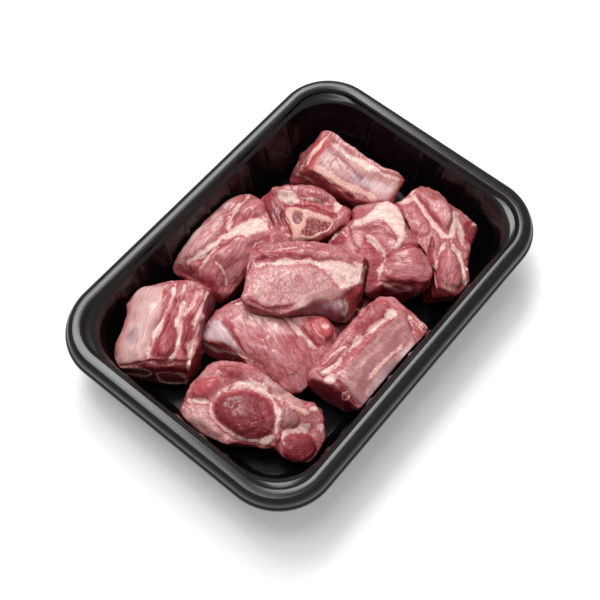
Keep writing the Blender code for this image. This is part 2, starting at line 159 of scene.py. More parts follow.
def upper_path(wall_rings):
    """Inset, height and corner radius of the side that shows, from the lip to the floor."""
    wall_top = HEIGHT - WALL_TOP_DROP
    path = [(inset, HEIGHT - drop, LIP_RADIUS - inset)
            for inset, drop in LIP_SECTION + FLANGE_SECTION]
    path.append((LEDGE_INSET, HEIGHT - LEDGE_DROP, LEDGE_RADIUS))
    path.append((WALL_TOP_INSET, wall_top, WALL_RADIUS))
    for height in np.linspace(wall_top - WALL_START, WALL_FOOT_HEIGHT, wall_rings):
        inset = WALL_TOP_INSET + WALL_SLOPE * (wall_top - height)
        share = (inset - WALL_TOP_INSET) / (WALL_FOOT_INSET - WALL_TOP_INSET)
        path.append((inset, height, WALL_RADIUS - WALL_RADIUS_LOSS * share))
    path += FOOT_SECTION
    path += [(inset, SHEET, FLOOR_RADIUS + FLOOR_INSET - inset) for inset in FLOOR_RINGS]
    return np.array(path)


print("points along the tray's section:", len(upper_path(WALL_RINGS)))

# %% [markdown]
# The under side is the same path moved by the sheet's thickness. A corner of the path
# becomes a short curve, while the straight stretches keep the few points that they need.

# %% Round the section and close it below
ROUNDING = 0.55
ROUNDING_SHARE = 2.2
UPPER_ROUND_STEPS = 4
UNDER_ROUND_STEPS = 3
STRAIGHT = -0.9999


def under_path(path):
    """The same path moved one sheet thickness to the side that doesn't show."""
    run = np.gradient(path[:, :2], axis=0)
    normal = np.stack([run[:, 1], -run[:, 0]], axis=1)
    normal = normal / np.linalg.norm(normal, axis=1)[:, None]
    moved = path.copy()
    moved[:, :2] += normal * SHEET
    moved[:, 2] -= normal[:, 0] * SHEET
    moved[:, 1] = np.maximum(moved[:, 1], 0.0)
    moved[0] = (SHEET, path[0, 1], LIP_RADIUS - SHEET)
    return moved


def round_path(path, steps):
    """Replace each corner of a path by a short curve."""
    rows = [path[0]]
    for before, here, after in zip(path, path[1:], path[2:]):
        into = (before - here) / np.linalg.norm(before - here)
        out = (after - here) / np.linalg.norm(after - here)
        if into @ out < STRAIGHT:
            rows.append(here)
            continue
        reach = min(ROUNDING, np.linalg.norm(before - here) / ROUNDING_SHARE,
                    np.linalg.norm(after - here) / ROUNDING_SHARE)
        for share in np.linspace(0.0, 1.0, steps):
            rows.append(here + into * reach * (1 - share) ** 2 + out * reach * share ** 2)
    rows.append(path[-1])
    return np.array(rows)


upper = round_path(upper_path(WALL_RINGS), UPPER_ROUND_STEPS)
under = round_path(under_path(upper_path(2)), UNDER_ROUND_STEPS)
print("rings over the tray:", len(upper), "under it:", len(under))

# %% [markdown]
# Every ring is a rounded rectangle with the same number of points.
# Along with each point goes its place along the side, and the way to the tray's middle.
# The ribs need both, as they are pressed inwards at an even pitch.

# %% One ring of the tray
LONG_STEPS = 176
SHORT_STEPS = 106
CORNER_STEPS = 24


def ring(inset, height, radius):
    """Points, places along the side and inward ways of one rounded rectangle."""
    half = (LENGTH / 2 - inset, WIDTH / 2 - inset)
    points = []
    places = []
    inward = []
    for side in range(4):
        turn = np.radians(90.0 * side)
        out = np.array([round(np.cos(turn)), round(np.sin(turn))])
        along = np.array([-out[1], out[0]])
        reach, run = (half[0], half[1]) if side % 2 == 0 else (half[1], half[0])
        steps = SHORT_STEPS if side % 2 == 0 else LONG_STEPS
        for place in np.linspace(radius - run, run - radius, steps, endpoint=False):
            points.append((*(out * reach + along * place), height))
            places.append(place)
            inward.append((*-out, 0.0))
        middle = out * (reach - radius) + along * (run - radius)
        for angle in np.linspace(0.0, np.pi / 2, CORNER_STEPS, endpoint=False) + turn:
            heading = np.array([np.cos(angle), np.sin(angle)])
            points.append((*(middle + radius * heading), height))
            places.append(run)
            inward.append((*-heading, 0.0))
    return np.array(points), np.array(places), np.array(inward)


print("points in a ring:", len(ring(*upper[0])[0]))

# %% [markdown]
# Neighbouring rings are joined by quads, and the last ring on each side by one flat face,
# so the sheet is one closed shell. Numbers that the ribs need are stored on its points.

# %% The tray's mesh
def make_mesh(name, points, faces):
    """A mesh object from points in millimetres and faces."""
    mesh = bpy.data.meshes.new(name)
    mesh.from_pydata(points * MM, [], faces)
    mesh.update()
    mesh.shade_smooth()
    item = bpy.data.objects.new(name, mesh)
    bpy.context.scene.collection.objects.link(item)
    return item


def store(item, name, values):
    """Keep one number, or one vector, for each vertex."""
    kind = "FLOAT" if values.ndim == 1 else "FLOAT_VECTOR"
    layer = item.data.attributes.new(name, kind, "POINT")
    layer.data.foreach_set("value" if values.ndim == 1 else "vector",
                           np.ascontiguousarray(values, np.float32).ravel())


def tray_mesh():
    """The tray as one closed shell of quads, with what the ribs need to know."""
    rows = np.concatenate([under[::-1], upper])
    rings = [ring(*row) for row in rows]
    count = len(rings[0][0])
    points = np.concatenate([r[0] for r in rings])
    faces = []
    for k in range(len(rings) - 1):
        start = k * count
        for i in range(count):
            j = (i + 1) % count
            faces.append((start + i, start + j, start + count + j, start + count + i))
    faces.append(list(range(count))[::-1])
    faces.append(list(range(len(points) - count, len(points))))
    item = make_mesh("tray_shell", points, faces)
    on_wall = (np.arange(len(rows)) >= len(under)) & (rows[:, 0] > WALL_TOP_INSET)
    shows = np.repeat(on_wall, count)
    store(item, "place", np.concatenate([r[1] for r in rings]))
    store(item, "inward", np.concatenate([r[2] for r in rings]))
    store(item, "shows", shows.astype(float))
    return item


tray = tray_mesh()
print("tray points:", len(tray.data.vertices))

# %% [markdown]
# The ribs stiffen the real tray's walls, and the mould presses them in at an even pitch.
# They could be separate bars, but those would show a seam. So Geometry Nodes move the wall's
# own points inwards by a repeating profile. Its sizes are inputs of the tree, so one rule
# makes all the ribs.

# %% The tray's ribs
RIB_PITCH = 17.0
RIB_DEPTH = 0.9
RIB_FOOT_WIDTH = 3.6
RIB_CREST_WIDTH = 2.2
RIB_TOP_DROP = 5.0
RIB_BOTTOM = 0.2
RIB_END = 3.0


def math_node(tree, operation, first, second=None, third=None):
    """One sum on numbers or sockets."""
    node = tree.nodes.new("ShaderNodeMath")
    node.operation = operation
    for socket, value in zip(node.inputs, (first, second, third)):
        if hasattr(value, "links"):
            tree.links.new(value, socket)
        elif value is not None:
            socket.default_value = value
    return node.outputs[0]


def ramp_node(tree, value, start, end, low=0.0, high=1.0):
    """A smooth ramp between two values."""
    node = tree.nodes.new("ShaderNodeMapRange")
    node.interpolation_type = "SMOOTHSTEP"
    for name, given in (("Value", value), ("From Min", start), ("From Max", end),
                        ("To Min", low), ("To Max", high)):
        if hasattr(given, "links"):
            tree.links.new(given, node.inputs[name])
        else:
            node.inputs[name].default_value = given
    return node.outputs["Result"]


def named_value(tree, name, kind):
    """An attribute of the mesh, read inside Geometry Nodes."""
    node = tree.nodes.new("GeometryNodeInputNamedAttribute")
    node.data_type = kind
    node.inputs["Name"].default_value = name
    return node.outputs["Attribute"]


print("a rib stands out", RIB_DEPTH, "mm, and the next one is", RIB_PITCH, "mm along")

# %% [markdown]
# The tree works out a share from 0 to 1 for each point: how near the point is to a rib's
# crest, and whether it is between the rib's two ends. The share scales the inward move.

# %% The tree that presses the ribs
def rib_tree():
    """The tree that presses ribs into the walls."""
    tree = bpy.data.node_groups.new("wall_ribs", "GeometryNodeTree")
    tree.interface.new_socket("Geometry", in_out="INPUT", socket_type="NodeSocketGeometry")
    for name in ("Pitch", "Depth", "Foot Width", "Crest Width", "Top", "Bottom"):
        tree.interface.new_socket(name, in_out="INPUT", socket_type="NodeSocketFloat")
    tree.interface.new_socket("Finish", in_out="INPUT", socket_type="NodeSocketMaterial")
    tree.interface.new_socket("Geometry", in_out="OUTPUT", socket_type="NodeSocketGeometry")
    sizes = tree.nodes.new("NodeGroupInput").outputs
    place = named_value(tree, "place", "FLOAT")
    turn = math_node(tree, "WRAP", place, math_node(tree, "DIVIDE", sizes["Pitch"], 2.0),
                     math_node(tree, "DIVIDE", sizes["Pitch"], -2.0))
    from_middle = math_node(tree, "ABSOLUTE", turn)
    share = ramp_node(tree, from_middle, math_node(tree, "DIVIDE", sizes["Crest Width"], 2.0),
                      math_node(tree, "DIVIDE", sizes["Foot Width"], 2.0), 1.0, 0.0)
    spot = tree.nodes.new("ShaderNodeSeparateXYZ")
    tree.links.new(tree.nodes.new("GeometryNodeInputPosition").outputs[0], spot.inputs[0])
    height = math_node(tree, "DIVIDE", spot.outputs["Z"], MM)
    below_top = ramp_node(tree, height, math_node(tree, "SUBTRACT", sizes["Top"], RIB_END),
                          sizes["Top"], 1.0, 0.0)
    over_floor = ramp_node(tree, height, sizes["Bottom"],
                           math_node(tree, "ADD", sizes["Bottom"], RIB_END), 0.0, 1.0)
    share = math_node(tree, "MULTIPLY", share, math_node(tree, "MULTIPLY", below_top, over_floor))
    share = math_node(tree, "MULTIPLY", share, named_value(tree, "shows", "FLOAT"))
    depth = math_node(tree, "MULTIPLY", math_node(tree, "MULTIPLY", sizes["Depth"], MM), share)
    push = tree.nodes.new("ShaderNodeVectorMath")
    push.operation = "SCALE"
    tree.links.new(named_value(tree, "inward", "FLOAT_VECTOR"), push.inputs[0])
    tree.links.new(depth, push.inputs["Scale"])
    move = tree.nodes.new("GeometryNodeSetPosition")
    tree.links.new(sizes["Geometry"], move.inputs["Geometry"])
    tree.links.new(push.outputs[0], move.inputs["Offset"])
    real = tree.nodes.new("GeometryNodeRealizeInstances")
    tree.links.new(move.outputs[0], real.inputs[0])
    paint = tree.nodes.new("GeometryNodeSetMaterial")
    tree.links.new(real.outputs[0], paint.inputs["Geometry"])
    tree.links.new(sizes["Finish"], paint.inputs["Material"])
    tree.links.new(paint.outputs[0], tree.nodes.new("NodeGroupOutput").inputs[0])
    return tree


def plain_mesh(item, tree, values):
    """Run a tree on an object and keep the result as a plain mesh."""
    modifier = item.modifiers.new("shape", "NODES")
    modifier.node_group = tree
    for socket in tree.interface.items_tree:
        if socket.in_out == "INPUT" and socket.name in values:
            modifier[socket.identifier] = values[socket.name]
    seen = item.evaluated_get(bpy.context.evaluated_depsgraph_get())
    mesh = bpy.data.meshes.new_from_object(seen)
    item.modifiers.remove(modifier)
    item.data = mesh
    return item


black_plastic = bpy.data.materials.new("black_plastic")
plain_mesh(tray, rib_tree(), {
    "Pitch": RIB_PITCH, "Depth": RIB_DEPTH, "Foot Width": RIB_FOOT_WIDTH,
    "Crest Width": RIB_CREST_WIDTH, "Top": HEIGHT - RIB_TOP_DROP,
    "Bottom": RIB_BOTTOM, "Finish": black_plastic})
print("tray faces after the ribs:", len(tray.data.polygons), "each two triangles")

# %% [markdown]
# A cleaver leaves each chunk with a cut face, a cut foot and sides that lean between them.
# Sculpting would lose the fit with the solids, so each piece keeps the form of its solid: a
# face outline and a foot outline, and the meat's height at the middle of its face.
# The points run round the piece as (x, y, height), and pieces listed first keep their form.
# A bump is a low hill (x, y, radius, rise) on the face. A bent piece names the point that
# all of its outline can be seen from.

# %% Forms of the five pieces in the near half
PIECES = {
    "centre_slab": dict(
        face=[(-11, 29, 37), (-2, 31, 37), (8, 21, 38), (18, 8, 39), (25, -8, 38),
              (28, -15, 37), (26, -20, 36), (23, -20, 36), (11, -22, 36), (4, -15, 36),
              (-6, -9, 35), (-13, -7, 34), (-20, -4, 33), (-23, -2, 33), (-28, 7, 33),
              (-30, 16, 34), (-23, 22, 35)],
        foot=[(-14, 27, 22), (-3, 29, 20), (10, 18, 18), (22, 0, 17), (27, -16, 18),
              (18, -25, 17), (7, -29, 16), (-2, -31, 16), (-5, -22, 17), (-9, -14, 19),
              (-21, -3, 24), (-31, 12, 26), (-25, 20, 24)],
        middle=38.5, bumps=[]),
    "lower_chunk": dict(
        face=[(-57, 24, 20), (-51, 27, 22), (-43, 26, 24), (-31, 24, 26), (-18, 16, 26),
              (-8, -3, 24), (-8, -19, 22), (-8, -26, 21), (-13, -29, 20), (-24, -31, 18),
              (-38, -33, 15), (-48, -32, 12), (-49, -18, 15), (-51, -6, 18), (-51, 5, 20),
              (-53, 14, 21)],
        foot=[(-59, 22, 3), (-57, 14, 2), (-48, -5, 3), (-45, -16, 5), (-45, -30, 5),
              (-36, -33, 2), (-22, -29, 2), (-12, -27, 3), (-8, -14, 3), (-14, 4, 3),
              (-28, 18, 2), (-42, 26, 2)],
        middle=25.5, bumps=[]),
    "right_rib": dict(
        face=[(-40, -36, 27), (-16, -36, 29), (9, -36, 31), (17, -37, 31), (20, -46, 31),
              (20, -57, 31), (18, -66, 30), (17, -71, 29), (8, -69, 29), (-14, -69, 28),
              (-33, -69, 25), (-37, -68, 24), (-36, -61, 27), (-34, -51, 28), (-37, -43, 28)],
        foot=[(-38, -36, 2), (-38, -47, 2), (-36, -58, 2), (-30, -62, 2), (-10, -62, 2),
              (10, -62, 2), (18, -57, 2), (19, -46, 2), (16, -38, 2), (-8, -36, 2)],
        middle=31.0, bumps=[]),
    "left_rib": dict(
        face=[(-62, 66, 27), (-57, 64, 28), (-50, 57, 30), (-42, 48, 32), (-38, 36, 31),
              (-56, 28, 31), (-71, 19, 29), (-76, 17, 27), (-82, 27, 28), (-89, 35, 28),
              (-99, 46, 22), (-92, 52, 23), (-79, 57, 25), (-71, 62, 26)],
        foot=[(-36, 34, 8), (-48, 32, 4), (-58, 25, 2), (-67, 19, 2), (-78, 17, 2),
              (-86, 28, 2), (-94, 44, 2), (-90, 52, 2), (-76, 58, 2), (-62, 61, 2),
              (-50, 56, 3), (-40, 46, 6)],
        middle=32.0, bumps=[]),
    "loin_chunk": dict(
        face=[(-88, 7, 22), (-79, 10, 24), (-69, 9, 25), (-62, 3, 25), (-56, -7, 24),
              (-55, -14, 23), (-56, -24, 22), (-56, -34, 20), (-52, -41, 19),
              (-48, -46, 19), (-52, -53, 18), (-55, -57, 15), (-64, -60, 12),
              (-73, -60, 10), (-77, -54, 10), (-79, -47, 12), (-77, -43, 15),
              (-83, -35, 16), (-92, -24, 16), (-95, -12, 16), (-96, -1, 18), (-94, 4, 20)],
        foot=[(-92, -20, 2), (-81, -34, 2), (-76, -42, 2), (-76, -52, 2), (-71, -60, 2),
              (-62, -60, 2), (-54, -57, 2), (-48, -48, 2), (-49, -37, 2), (-50, -22, 2),
              (-56, 0, 2), (-70, 8, 2), (-84, 8, 2), (-93, 2, 2), (-95, -8, 2)],
        middle=24.0, bumps=[], centre=(-72, -31)),
}
print("forms in the near half:", len(PIECES))

# %% [markdown]
# The far half has smaller, taller pieces that lean on each other. The last one lies dark
# and low under the slab, and only its top is ever seen.

# %% Forms of the six other pieces
PIECES |= {
    "far_rib": dict(
        face=[(81, 51, 34), (83, 49, 35), (82, 38, 34), (81, 25, 33), (83, 14, 32),
              (87, 5, 31), (88, 0, 30), (78, -2, 29), (70, -4, 28), (65, 2, 28),
              (61, 14, 29), (59, 31, 30), (58, 44, 31)],
        foot=[(78, 63, 4), (62, 61, 3), (54, 57, 2), (58, 46, 2), (61, 32, 2), (65, 14, 2),
              (77, 9, 2), (86, 14, 2), (86, 30, 2), (85, 50, 2)],
        middle=33.0, bumps=[]),
    "shoulder_chunk": dict(
        face=[(-31, 67, 20), (-18, 68, 24), (-5, 69, 26), (4, 69, 26), (15, 66, 27),
              (21, 64, 28), (25, 58, 29), (22, 51, 30), (14, 38, 31), (14, 28, 31),
              (9, 24, 30), (0, 31, 26), (-12, 33, 20), (-26, 33, 14), (-31, 34, 12),
              (-32, 44, 15), (-33, 56, 17), (-34, 64, 18)],
        foot=[(-32, 61, 2), (-31, 48, 2), (-30, 36, 2), (-22, 34, 2), (0, 31, 2),
              (14, 28, 2), (22, 44, 2), (24, 57, 2), (14, 61, 2), (-8, 62, 2)],
        middle=31.0, bumps=[(-24, 50, 9, 4)]),
    "fat_cap_chunk": dict(
        face=[(45, 8, 20), (50, 4, 24), (55, 11, 22), (60, 9, 25), (66, -1, 31),
              (68, -6, 32), (66, -13, 32), (61, -22, 32), (57, -27, 31), (56, -35, 30),
              (51, -48, 28), (45, -51, 26), (38, -46, 24), (33, -38, 24), (28, -30, 26),
              (22, -28, 22), (20, -19, 24), (23, -2, 22), (31, 8, 20)],
        foot=[(54, -42, 2), (48, -44, 2), (42, -43, 2), (35, -41, 2), (26, -30, 2),
              (24, -16, 2), (26, 0, 2), (36, 6, 2), (52, 8, 2), (62, 0, 2), (65, -16, 2),
              (60, -30, 2)],
        middle=32.0, bumps=[(44, -40, 8, 3)]),
    "right_chunk": dict(
        face=[(72, -6, 26), (81, -9, 28), (90, -10, 29), (93, -21, 29), (90, -32, 28),
              (91, -38, 26), (92, -49, 20), (84, -51, 21), (79, -51, 25), (70, -56, 25),
              (61, -64, 24), (57, -67, 23), (52, -67, 22), (44, -55, 22), (51, -48, 25),
              (56, -36, 28), (63, -22, 28)],
        foot=[(57, -62, 2), (46, -54, 2), (40, -44, 2), (52, -34, 2), (60, -20, 2),
              (70, -8, 2), (86, -8, 2), (92, -22, 2), (88, -42, 2), (80, -52, 2),
              (66, -60, 2)],
        middle=30.5, bumps=[]),
    "bone_chunk": dict(
        face=[(29, 56, 22), (38, 53, 25), (45, 41, 27), (48, 35, 28), (52, 25, 28),
              (49, 19, 27), (54, 12, 25), (48, 6, 24), (43, 11, 25), (34, 13, 24),
              (28, 16, 23), (21, 21, 22), (17, 25, 21), (20, 33, 22), (20, 41, 22),
              (23, 50, 20)],
        foot=[(20, 26, 2), (32, 18, 2), (48, 10, 2), (55, 16, 2), (54, 32, 2), (46, 48, 2),
              (32, 57, 2), (22, 52, 2), (17, 40, 2)],
        middle=27.0, bumps=[(44, 32, 7, 3)]),
    "under_chunk": dict(
        face=[(8, 0, 12), (20, -12, 13), (25, -26, 13), (11, -31, 12), (-6, -33, 11),
              (-12, -30, 10), (-8, -14, 11), (-2, -2, 12)],
        foot=[(8, 2, 2), (20, -10, 2), (24, -26, 2), (10, -32, 2), (-6, -33, 2),
              (-12, -30, 2), (-8, -14, 2), (-2, 0, 2)],
        middle=13.0, bumps=[]),
}
print("pieces of meat:", len(PIECES))

# %% [markdown]
# A loft between two outlines would have a knife-sharp rim and stretched faces. So a form
# turns a direction into a point: tight at the rim, flatter over the face and foot.
# An outline is first read as a table, with a distance and a height for each direction.

# %% Outlines read by direction
OUTLINE_STEPS = 360
OUTLINE_SMOOTHING = 7
TINY = 1e-9


def middle_of(outline):
    """The middle of the area inside an outline."""
    ahead = np.roll(outline, -1, axis=0)
    cross = outline[:, 0] * ahead[:, 1] - ahead[:, 0] * outline[:, 1]
    return ((outline + ahead) * cross[:, None]).sum(axis=0) / (3.0 * cross.sum())


def smooth_round(values):
    """Smooth a table that runs once round a piece."""
    window = np.hanning(OUTLINE_SMOOTHING + 2)[1:-1]
    pad = OUTLINE_SMOOTHING // 2
    wrapped = np.concatenate([values[-pad:], values, values[:pad]])
    return np.convolve(wrapped, window / window.sum(), mode="valid")


def around(outline, centre, growth):
    """Distance and height of an outline in every direction from a centre."""
    angles = np.linspace(0.0, 2.0 * np.pi, OUTLINE_STEPS, endpoint=False)
    heading = np.stack([np.cos(angles), np.sin(angles)], axis=1)
    start = outline[:, :2] - centre
    run = np.roll(start, -1, axis=0) - start
    rise = np.roll(outline[:, 2], -1) - outline[:, 2]
    reach = np.zeros(OUTLINE_STEPS)
    height = np.zeros(OUTLINE_STEPS)
    for p, r, z, dz in zip(start, run, outline[:, 2], rise):
        det = heading[:, 0] * -r[1] + heading[:, 1] * r[0]
        det = np.where(np.abs(det) < TINY, TINY, det)
        far = (p[0] * -r[1] + p[1] * r[0]) / det
        share = (heading[:, 0] * p[1] - heading[:, 1] * p[0]) / det
        hit = (share >= -TINY) & (share <= 1.0 + TINY) & (far > reach)
        reach = np.where(hit, far, reach)
        height = np.where(hit, z + dz * share, height)
    return smooth_round(reach + growth), smooth_round(height)


def look_up(values, angle):
    """Read a table that runs once round a piece."""
    place = (angle / (2.0 * np.pi) % 1.0) * OUTLINE_STEPS
    low = np.floor(place).astype(int)
    share = place - low
    low = low % OUTLINE_STEPS
    return values[low] * (1.0 - share) + values[(low + 1) % OUTLINE_STEPS] * share


print("directions round a piece:", OUTLINE_STEPS)

# %% [markdown]
# A form blends its two outlines by level, from the foot at -1 to the face at 1. A high
# power keeps face, foot and sides nearly flat up to a tight rim, as a cut leaves them.

# %% The form of a piece
CUT_POWER = 13.0
FACE_GROWTH = 2.8
FOOT_GROWTH = 1.0
SIDE_BULGE = 0.03


class Form:
    """One piece of meat: a rounded form between the outlines of its face and its foot."""

    def __init__(self, face, foot, middle, bumps, centre=None):
        face = np.array(face, float)
        foot = np.array(foot, float)
        plan_centre = np.array(middle_of(face[:, :2]) if centre is None else centre, float)
        self.face_reach, self.face_height = around(face, plan_centre, FACE_GROWTH)
        self.foot_reach, self.foot_height = around(foot, plan_centre, FOOT_GROWTH)
        self.middle = middle
        self.foot_middle = foot[:, 2].mean()
        self.centre = np.array([*plan_centre, (face[:, 2].mean() + self.foot_middle) / 2])
        self.bumps = bumps

    def top_at(self, angle, rho, flat):
        """Height of the upper face."""
        spread = np.minimum(rho, 1.0) ** 2
        height = look_up(self.face_height, angle) * spread + self.middle * (1.0 - spread)
        for x, y, radius, rise in self.bumps:
            away = (flat[:, 0] - x) ** 2 + (flat[:, 1] - y) ** 2
            height = height + rise * np.exp(-away / (2.0 * radius ** 2))
        return height

    def foot_at(self, angle, rho):
        """Height of the under side."""
        spread = np.minimum(rho, 1.0) ** 2
        return look_up(self.foot_height, angle) * spread + self.foot_middle * (1.0 - spread)

    def reach_at(self, angle, level):
        """Distance of the side from the centre at a level from -1, foot, to 1, face."""
        share = (level + 1.0) / 2.0
        face = look_up(self.face_reach, angle)
        foot = look_up(self.foot_reach, angle)
        return (foot + (face - foot) * share) * (1.0 + SIDE_BULGE * (1.0 - level ** 2))

    def surface(self, directions):
        """Points of the outer surface, one for each direction on a ball."""
        angle = np.arctan2(directions[:, 1], directions[:, 0])
        flat = np.hypot(directions[:, 0], directions[:, 1])
        size = (flat ** CUT_POWER + np.abs(directions[:, 2]) ** CUT_POWER) ** (1 / CUT_POWER)
        rho = flat / size
        level = directions[:, 2] / size
        reach = rho * self.reach_at(angle, level)
        plan = self.centre[:2] + np.stack([np.cos(angle), np.sin(angle)], 1) * reach[:, None]
        top = self.centre[2] + level * (self.top_at(angle, rho, plan) - self.centre[2])
        foot = self.centre[2] + level * (self.centre[2] - self.foot_at(angle, rho))
        return np.column_stack([plan, np.where(level > 0, top, foot)])


print("the face's outline grows by", FACE_GROWTH, "mm before its rim is rounded off")

# %% [markdown]
# Fullness asks the opposite question: given a point, how far out in its piece does it lie?
# Divided by how fast it changes there, it gives a distance in millimetres.

# %% How far a point is from a piece
EDGE_POWER = 6.0
LEVEL_ROUNDS = 3
LEAST_HEIGHT = 1.0
PROBE_STEP = 0.5
LEAST_SLOPE = 0.01


def fullness(form, points):
    """Below 1 inside a piece, 1 on its surface and above 1 outside it."""
    away = points - form.centre
    angle = np.arctan2(away[:, 1], away[:, 0])
    flat = np.hypot(away[:, 0], away[:, 1])
    level = np.zeros(len(points))
    for _ in range(LEVEL_ROUNDS):
        rho = flat / form.reach_at(angle, np.clip(level, -1.0, 1.0))
        top = np.maximum(form.top_at(angle, rho, points) - form.centre[2], LEAST_HEIGHT)
        foot = np.maximum(form.centre[2] - form.foot_at(angle, rho), LEAST_HEIGHT)
        level = np.where(away[:, 2] > 0, away[:, 2] / top, away[:, 2] / foot)
    return (rho ** EDGE_POWER + np.abs(level) ** EDGE_POWER) ** (1 / EDGE_POWER)


def distance(form, points):
    """Rough distance of points from a piece's surface, below 0 inside."""
    here = fullness(form, points)
    slope = np.zeros(len(points))
    for axis in np.eye(3):
        slope += (fullness(form, points + axis * PROBE_STEP) - here) ** 2
    return (here - 1.0) / np.maximum(np.sqrt(slope) / PROBE_STEP, LEAST_SLOPE)


forms = {name: Form(**numbers) for name, numbers in PIECES.items()}
print("tallest form reaches", max(form.middle for form in forms.values()), "mm")

# %% [markdown]
# Meat needs points that are about as close everywhere, or its relief breaks up at the poles
# of a plain sphere. A cube's faces, blown up to a ball, give such a net of directions.
# The coarse net finds how far each piece may reach before it meets tray or neighbour.
# The fine net then takes those limits from the coarse one by blending.

# %% Nets of directions
COARSE = 28
FINE = 100


def ball_net(squares):
    """Directions on a ball from a cube's six faces, their numbers and their quads."""
    count = squares + 1
    run = np.arange(count)
    a, b = (grid.ravel() for grid in np.meshgrid(run, run, indexing="ij"))
    sides = []
    for axis in range(3):
        for end in (0, squares):
            grid = np.zeros((count * count, 3), int)
            grid[:, axis] = end
            grid[:, (axis + 1) % 3] = a if end else b
            grid[:, (axis + 2) % 3] = b if end else a
            sides.append(grid)
    unique, numbers = np.unique(np.concatenate(sides), axis=0, return_inverse=True)
    numbers = numbers.reshape(6, count, count)
    quads = np.stack([numbers[:, :-1, :-1], numbers[:, 1:, :-1],
                      numbers[:, 1:, 1:], numbers[:, :-1, 1:]], axis=-1).reshape(-1, 4)
    cube = np.tan(np.pi / 4 * (unique * 2.0 / squares - 1.0))
    return cube / np.linalg.norm(cube, axis=1)[:, None], numbers, quads


def refine(values, coarse_numbers, fine_numbers):
    """Blend values on the coarse net over the fine net."""
    result = np.zeros(fine_numbers.max() + 1)
    place = np.linspace(0.0, COARSE, fine_numbers.shape[1])
    low = np.minimum(place.astype(int), COARSE - 1)
    share = place - low
    for coarse, fine in zip(coarse_numbers, fine_numbers):
        grid = values[coarse]
        rows = grid[low] * (1 - share)[:, None] + grid[low + 1] * share[:, None]
        result[fine] = rows[:, low] * (1 - share) + rows[:, low + 1] * share
    return result


def outward(points, quads):
    """Unit normals of the net's points."""
    cross = np.cross(points[quads[:, 2]] - points[quads[:, 0]],
                     points[quads[:, 3]] - points[quads[:, 1]])
    total = np.stack([np.bincount(quads.ravel(), np.repeat(cross[:, k], 4), len(points))
                      for k in range(3)], axis=1)
    return total / np.maximum(np.linalg.norm(total, axis=1), TINY)[:, None]


coarse_net = ball_net(COARSE)
fine_net = ball_net(FINE)
print("points a piece:", len(fine_net[0]))

# %% [markdown]
# In the pack soft pieces lie against each other and against the walls. A soft-body
# simulation could press them together, but it would move them off the solids.
# Marching out from a piece's centre finds the last point that is clear of everything.
# Pieces earlier in the table stay whole, and later ones press up against them.

# %% Where pieces must stop
WALL_GAP = 0.6
PIECE_GAP = 0.9
FIRST_SHARE = 0.35
LAST_SHARE = 1.2
MARCH_STEPS = 34
NEIGHBOUR_MARGIN = 4.0
FLOOR_CURVE = 0.6
FLOOR_CURVE_POWER = 3


def wall_distance(points):
    """How far points are inside the tray's hollow, from its walls and its floor."""
    inset = WALL_FOOT_INSET - WALL_SLOPE * (points[:, 2] - WALL_FOOT_HEIGHT) + RIB_DEPTH
    low = np.clip((WALL_FOOT_HEIGHT - points[:, 2]) / (WALL_FOOT_HEIGHT - SHEET), 0.0, 1.0)
    curve = FLOOR_CURVE * low ** FLOOR_CURVE_POWER
    inset = inset + (FLOOR_INSET - WALL_FOOT_INSET) * curve
    beyond_x = np.abs(points[:, 0]) - (LENGTH / 2 - inset - WALL_RADIUS)
    beyond_y = np.abs(points[:, 1]) - (WIDTH / 2 - inset - WALL_RADIUS)
    corner = np.hypot(np.maximum(beyond_x, 0.0), np.maximum(beyond_y, 0.0))
    side = WALL_RADIUS - corner - np.minimum(np.maximum(beyond_x, beyond_y), 0.0)
    return np.minimum(side, points[:, 2] - SHEET)


def neighbours(form, others):
    """The forms whose plan comes near this one."""
    near = []
    for other in others:
        apart = np.linalg.norm(other.centre[:2] - form.centre[:2])
        if apart < other.face_reach.max() + form.face_reach.max() + NEIGHBOUR_MARGIN:
            near.append(other)
    return near


def reach_limit(form, others):
    """How far each coarse direction of a piece may reach."""
    run = form.surface(coarse_net[0]) - form.centre
    limit = np.full(len(run), LAST_SHARE)
    free = np.arange(len(run))
    room_before = np.ones(len(run))
    shares = np.linspace(FIRST_SHARE, LAST_SHARE, MARCH_STEPS)
    for share in shares:
        trial = form.centre + run[free] * share
        room = wall_distance(trial) - WALL_GAP
        for other in others:
            room = np.minimum(room, distance(other, trial) - PIECE_GAP)
        stopped = room < 0
        part = room_before[stopped] / (room_before[stopped] - room[stopped])
        limit[free[stopped]] = share - (1.0 - part) * (shares[1] - shares[0])
        room_before = room[~stopped]
        free = free[~stopped]
    return limit * np.linalg.norm(run, axis=1)


limits = {}
placed = []
for name, form in forms.items():
    limits[name] = reach_limit(form, neighbours(form, placed))
    placed.append(form)
print("limits found for", len(limits), "pieces")

# %% [markdown]
# Fat seams, membranes and bone give a chunk its character, and each is where it is for a
# reason, so noise alone can't place them. They are drawn as marks, in the pixels of
# the photo. A line has a half width and thins towards its ends, and a patch has an outline.

# %% Ways to draw a mark
SPOT_POINTS = 14


def line(tissue, half_width, *points):
    """A seam drawn along some points of the photo."""
    return dict(tissue=tissue, half=half_width, points=points, shut=False)


def patch(tissue, *points):
    """An area drawn round its outline in the photo."""
    return dict(tissue=tissue, half=0.0, points=points, shut=True)


def spot(tissue, middle, wide, high, tilt=0.0):
    """An oval area of the photo, tilted by some degrees."""
    turn = np.radians(tilt)
    points = []
    for angle in np.linspace(0.0, 2 * np.pi, SPOT_POINTS, endpoint=False):
        x = wide / 2 * np.cos(angle)
        y = high / 2 * np.sin(angle)
        points.append((middle[0] + x * np.cos(turn) - y * np.sin(turn),
                       middle[1] + x * np.sin(turn) + y * np.cos(turn)))
    return patch(tissue, *points)


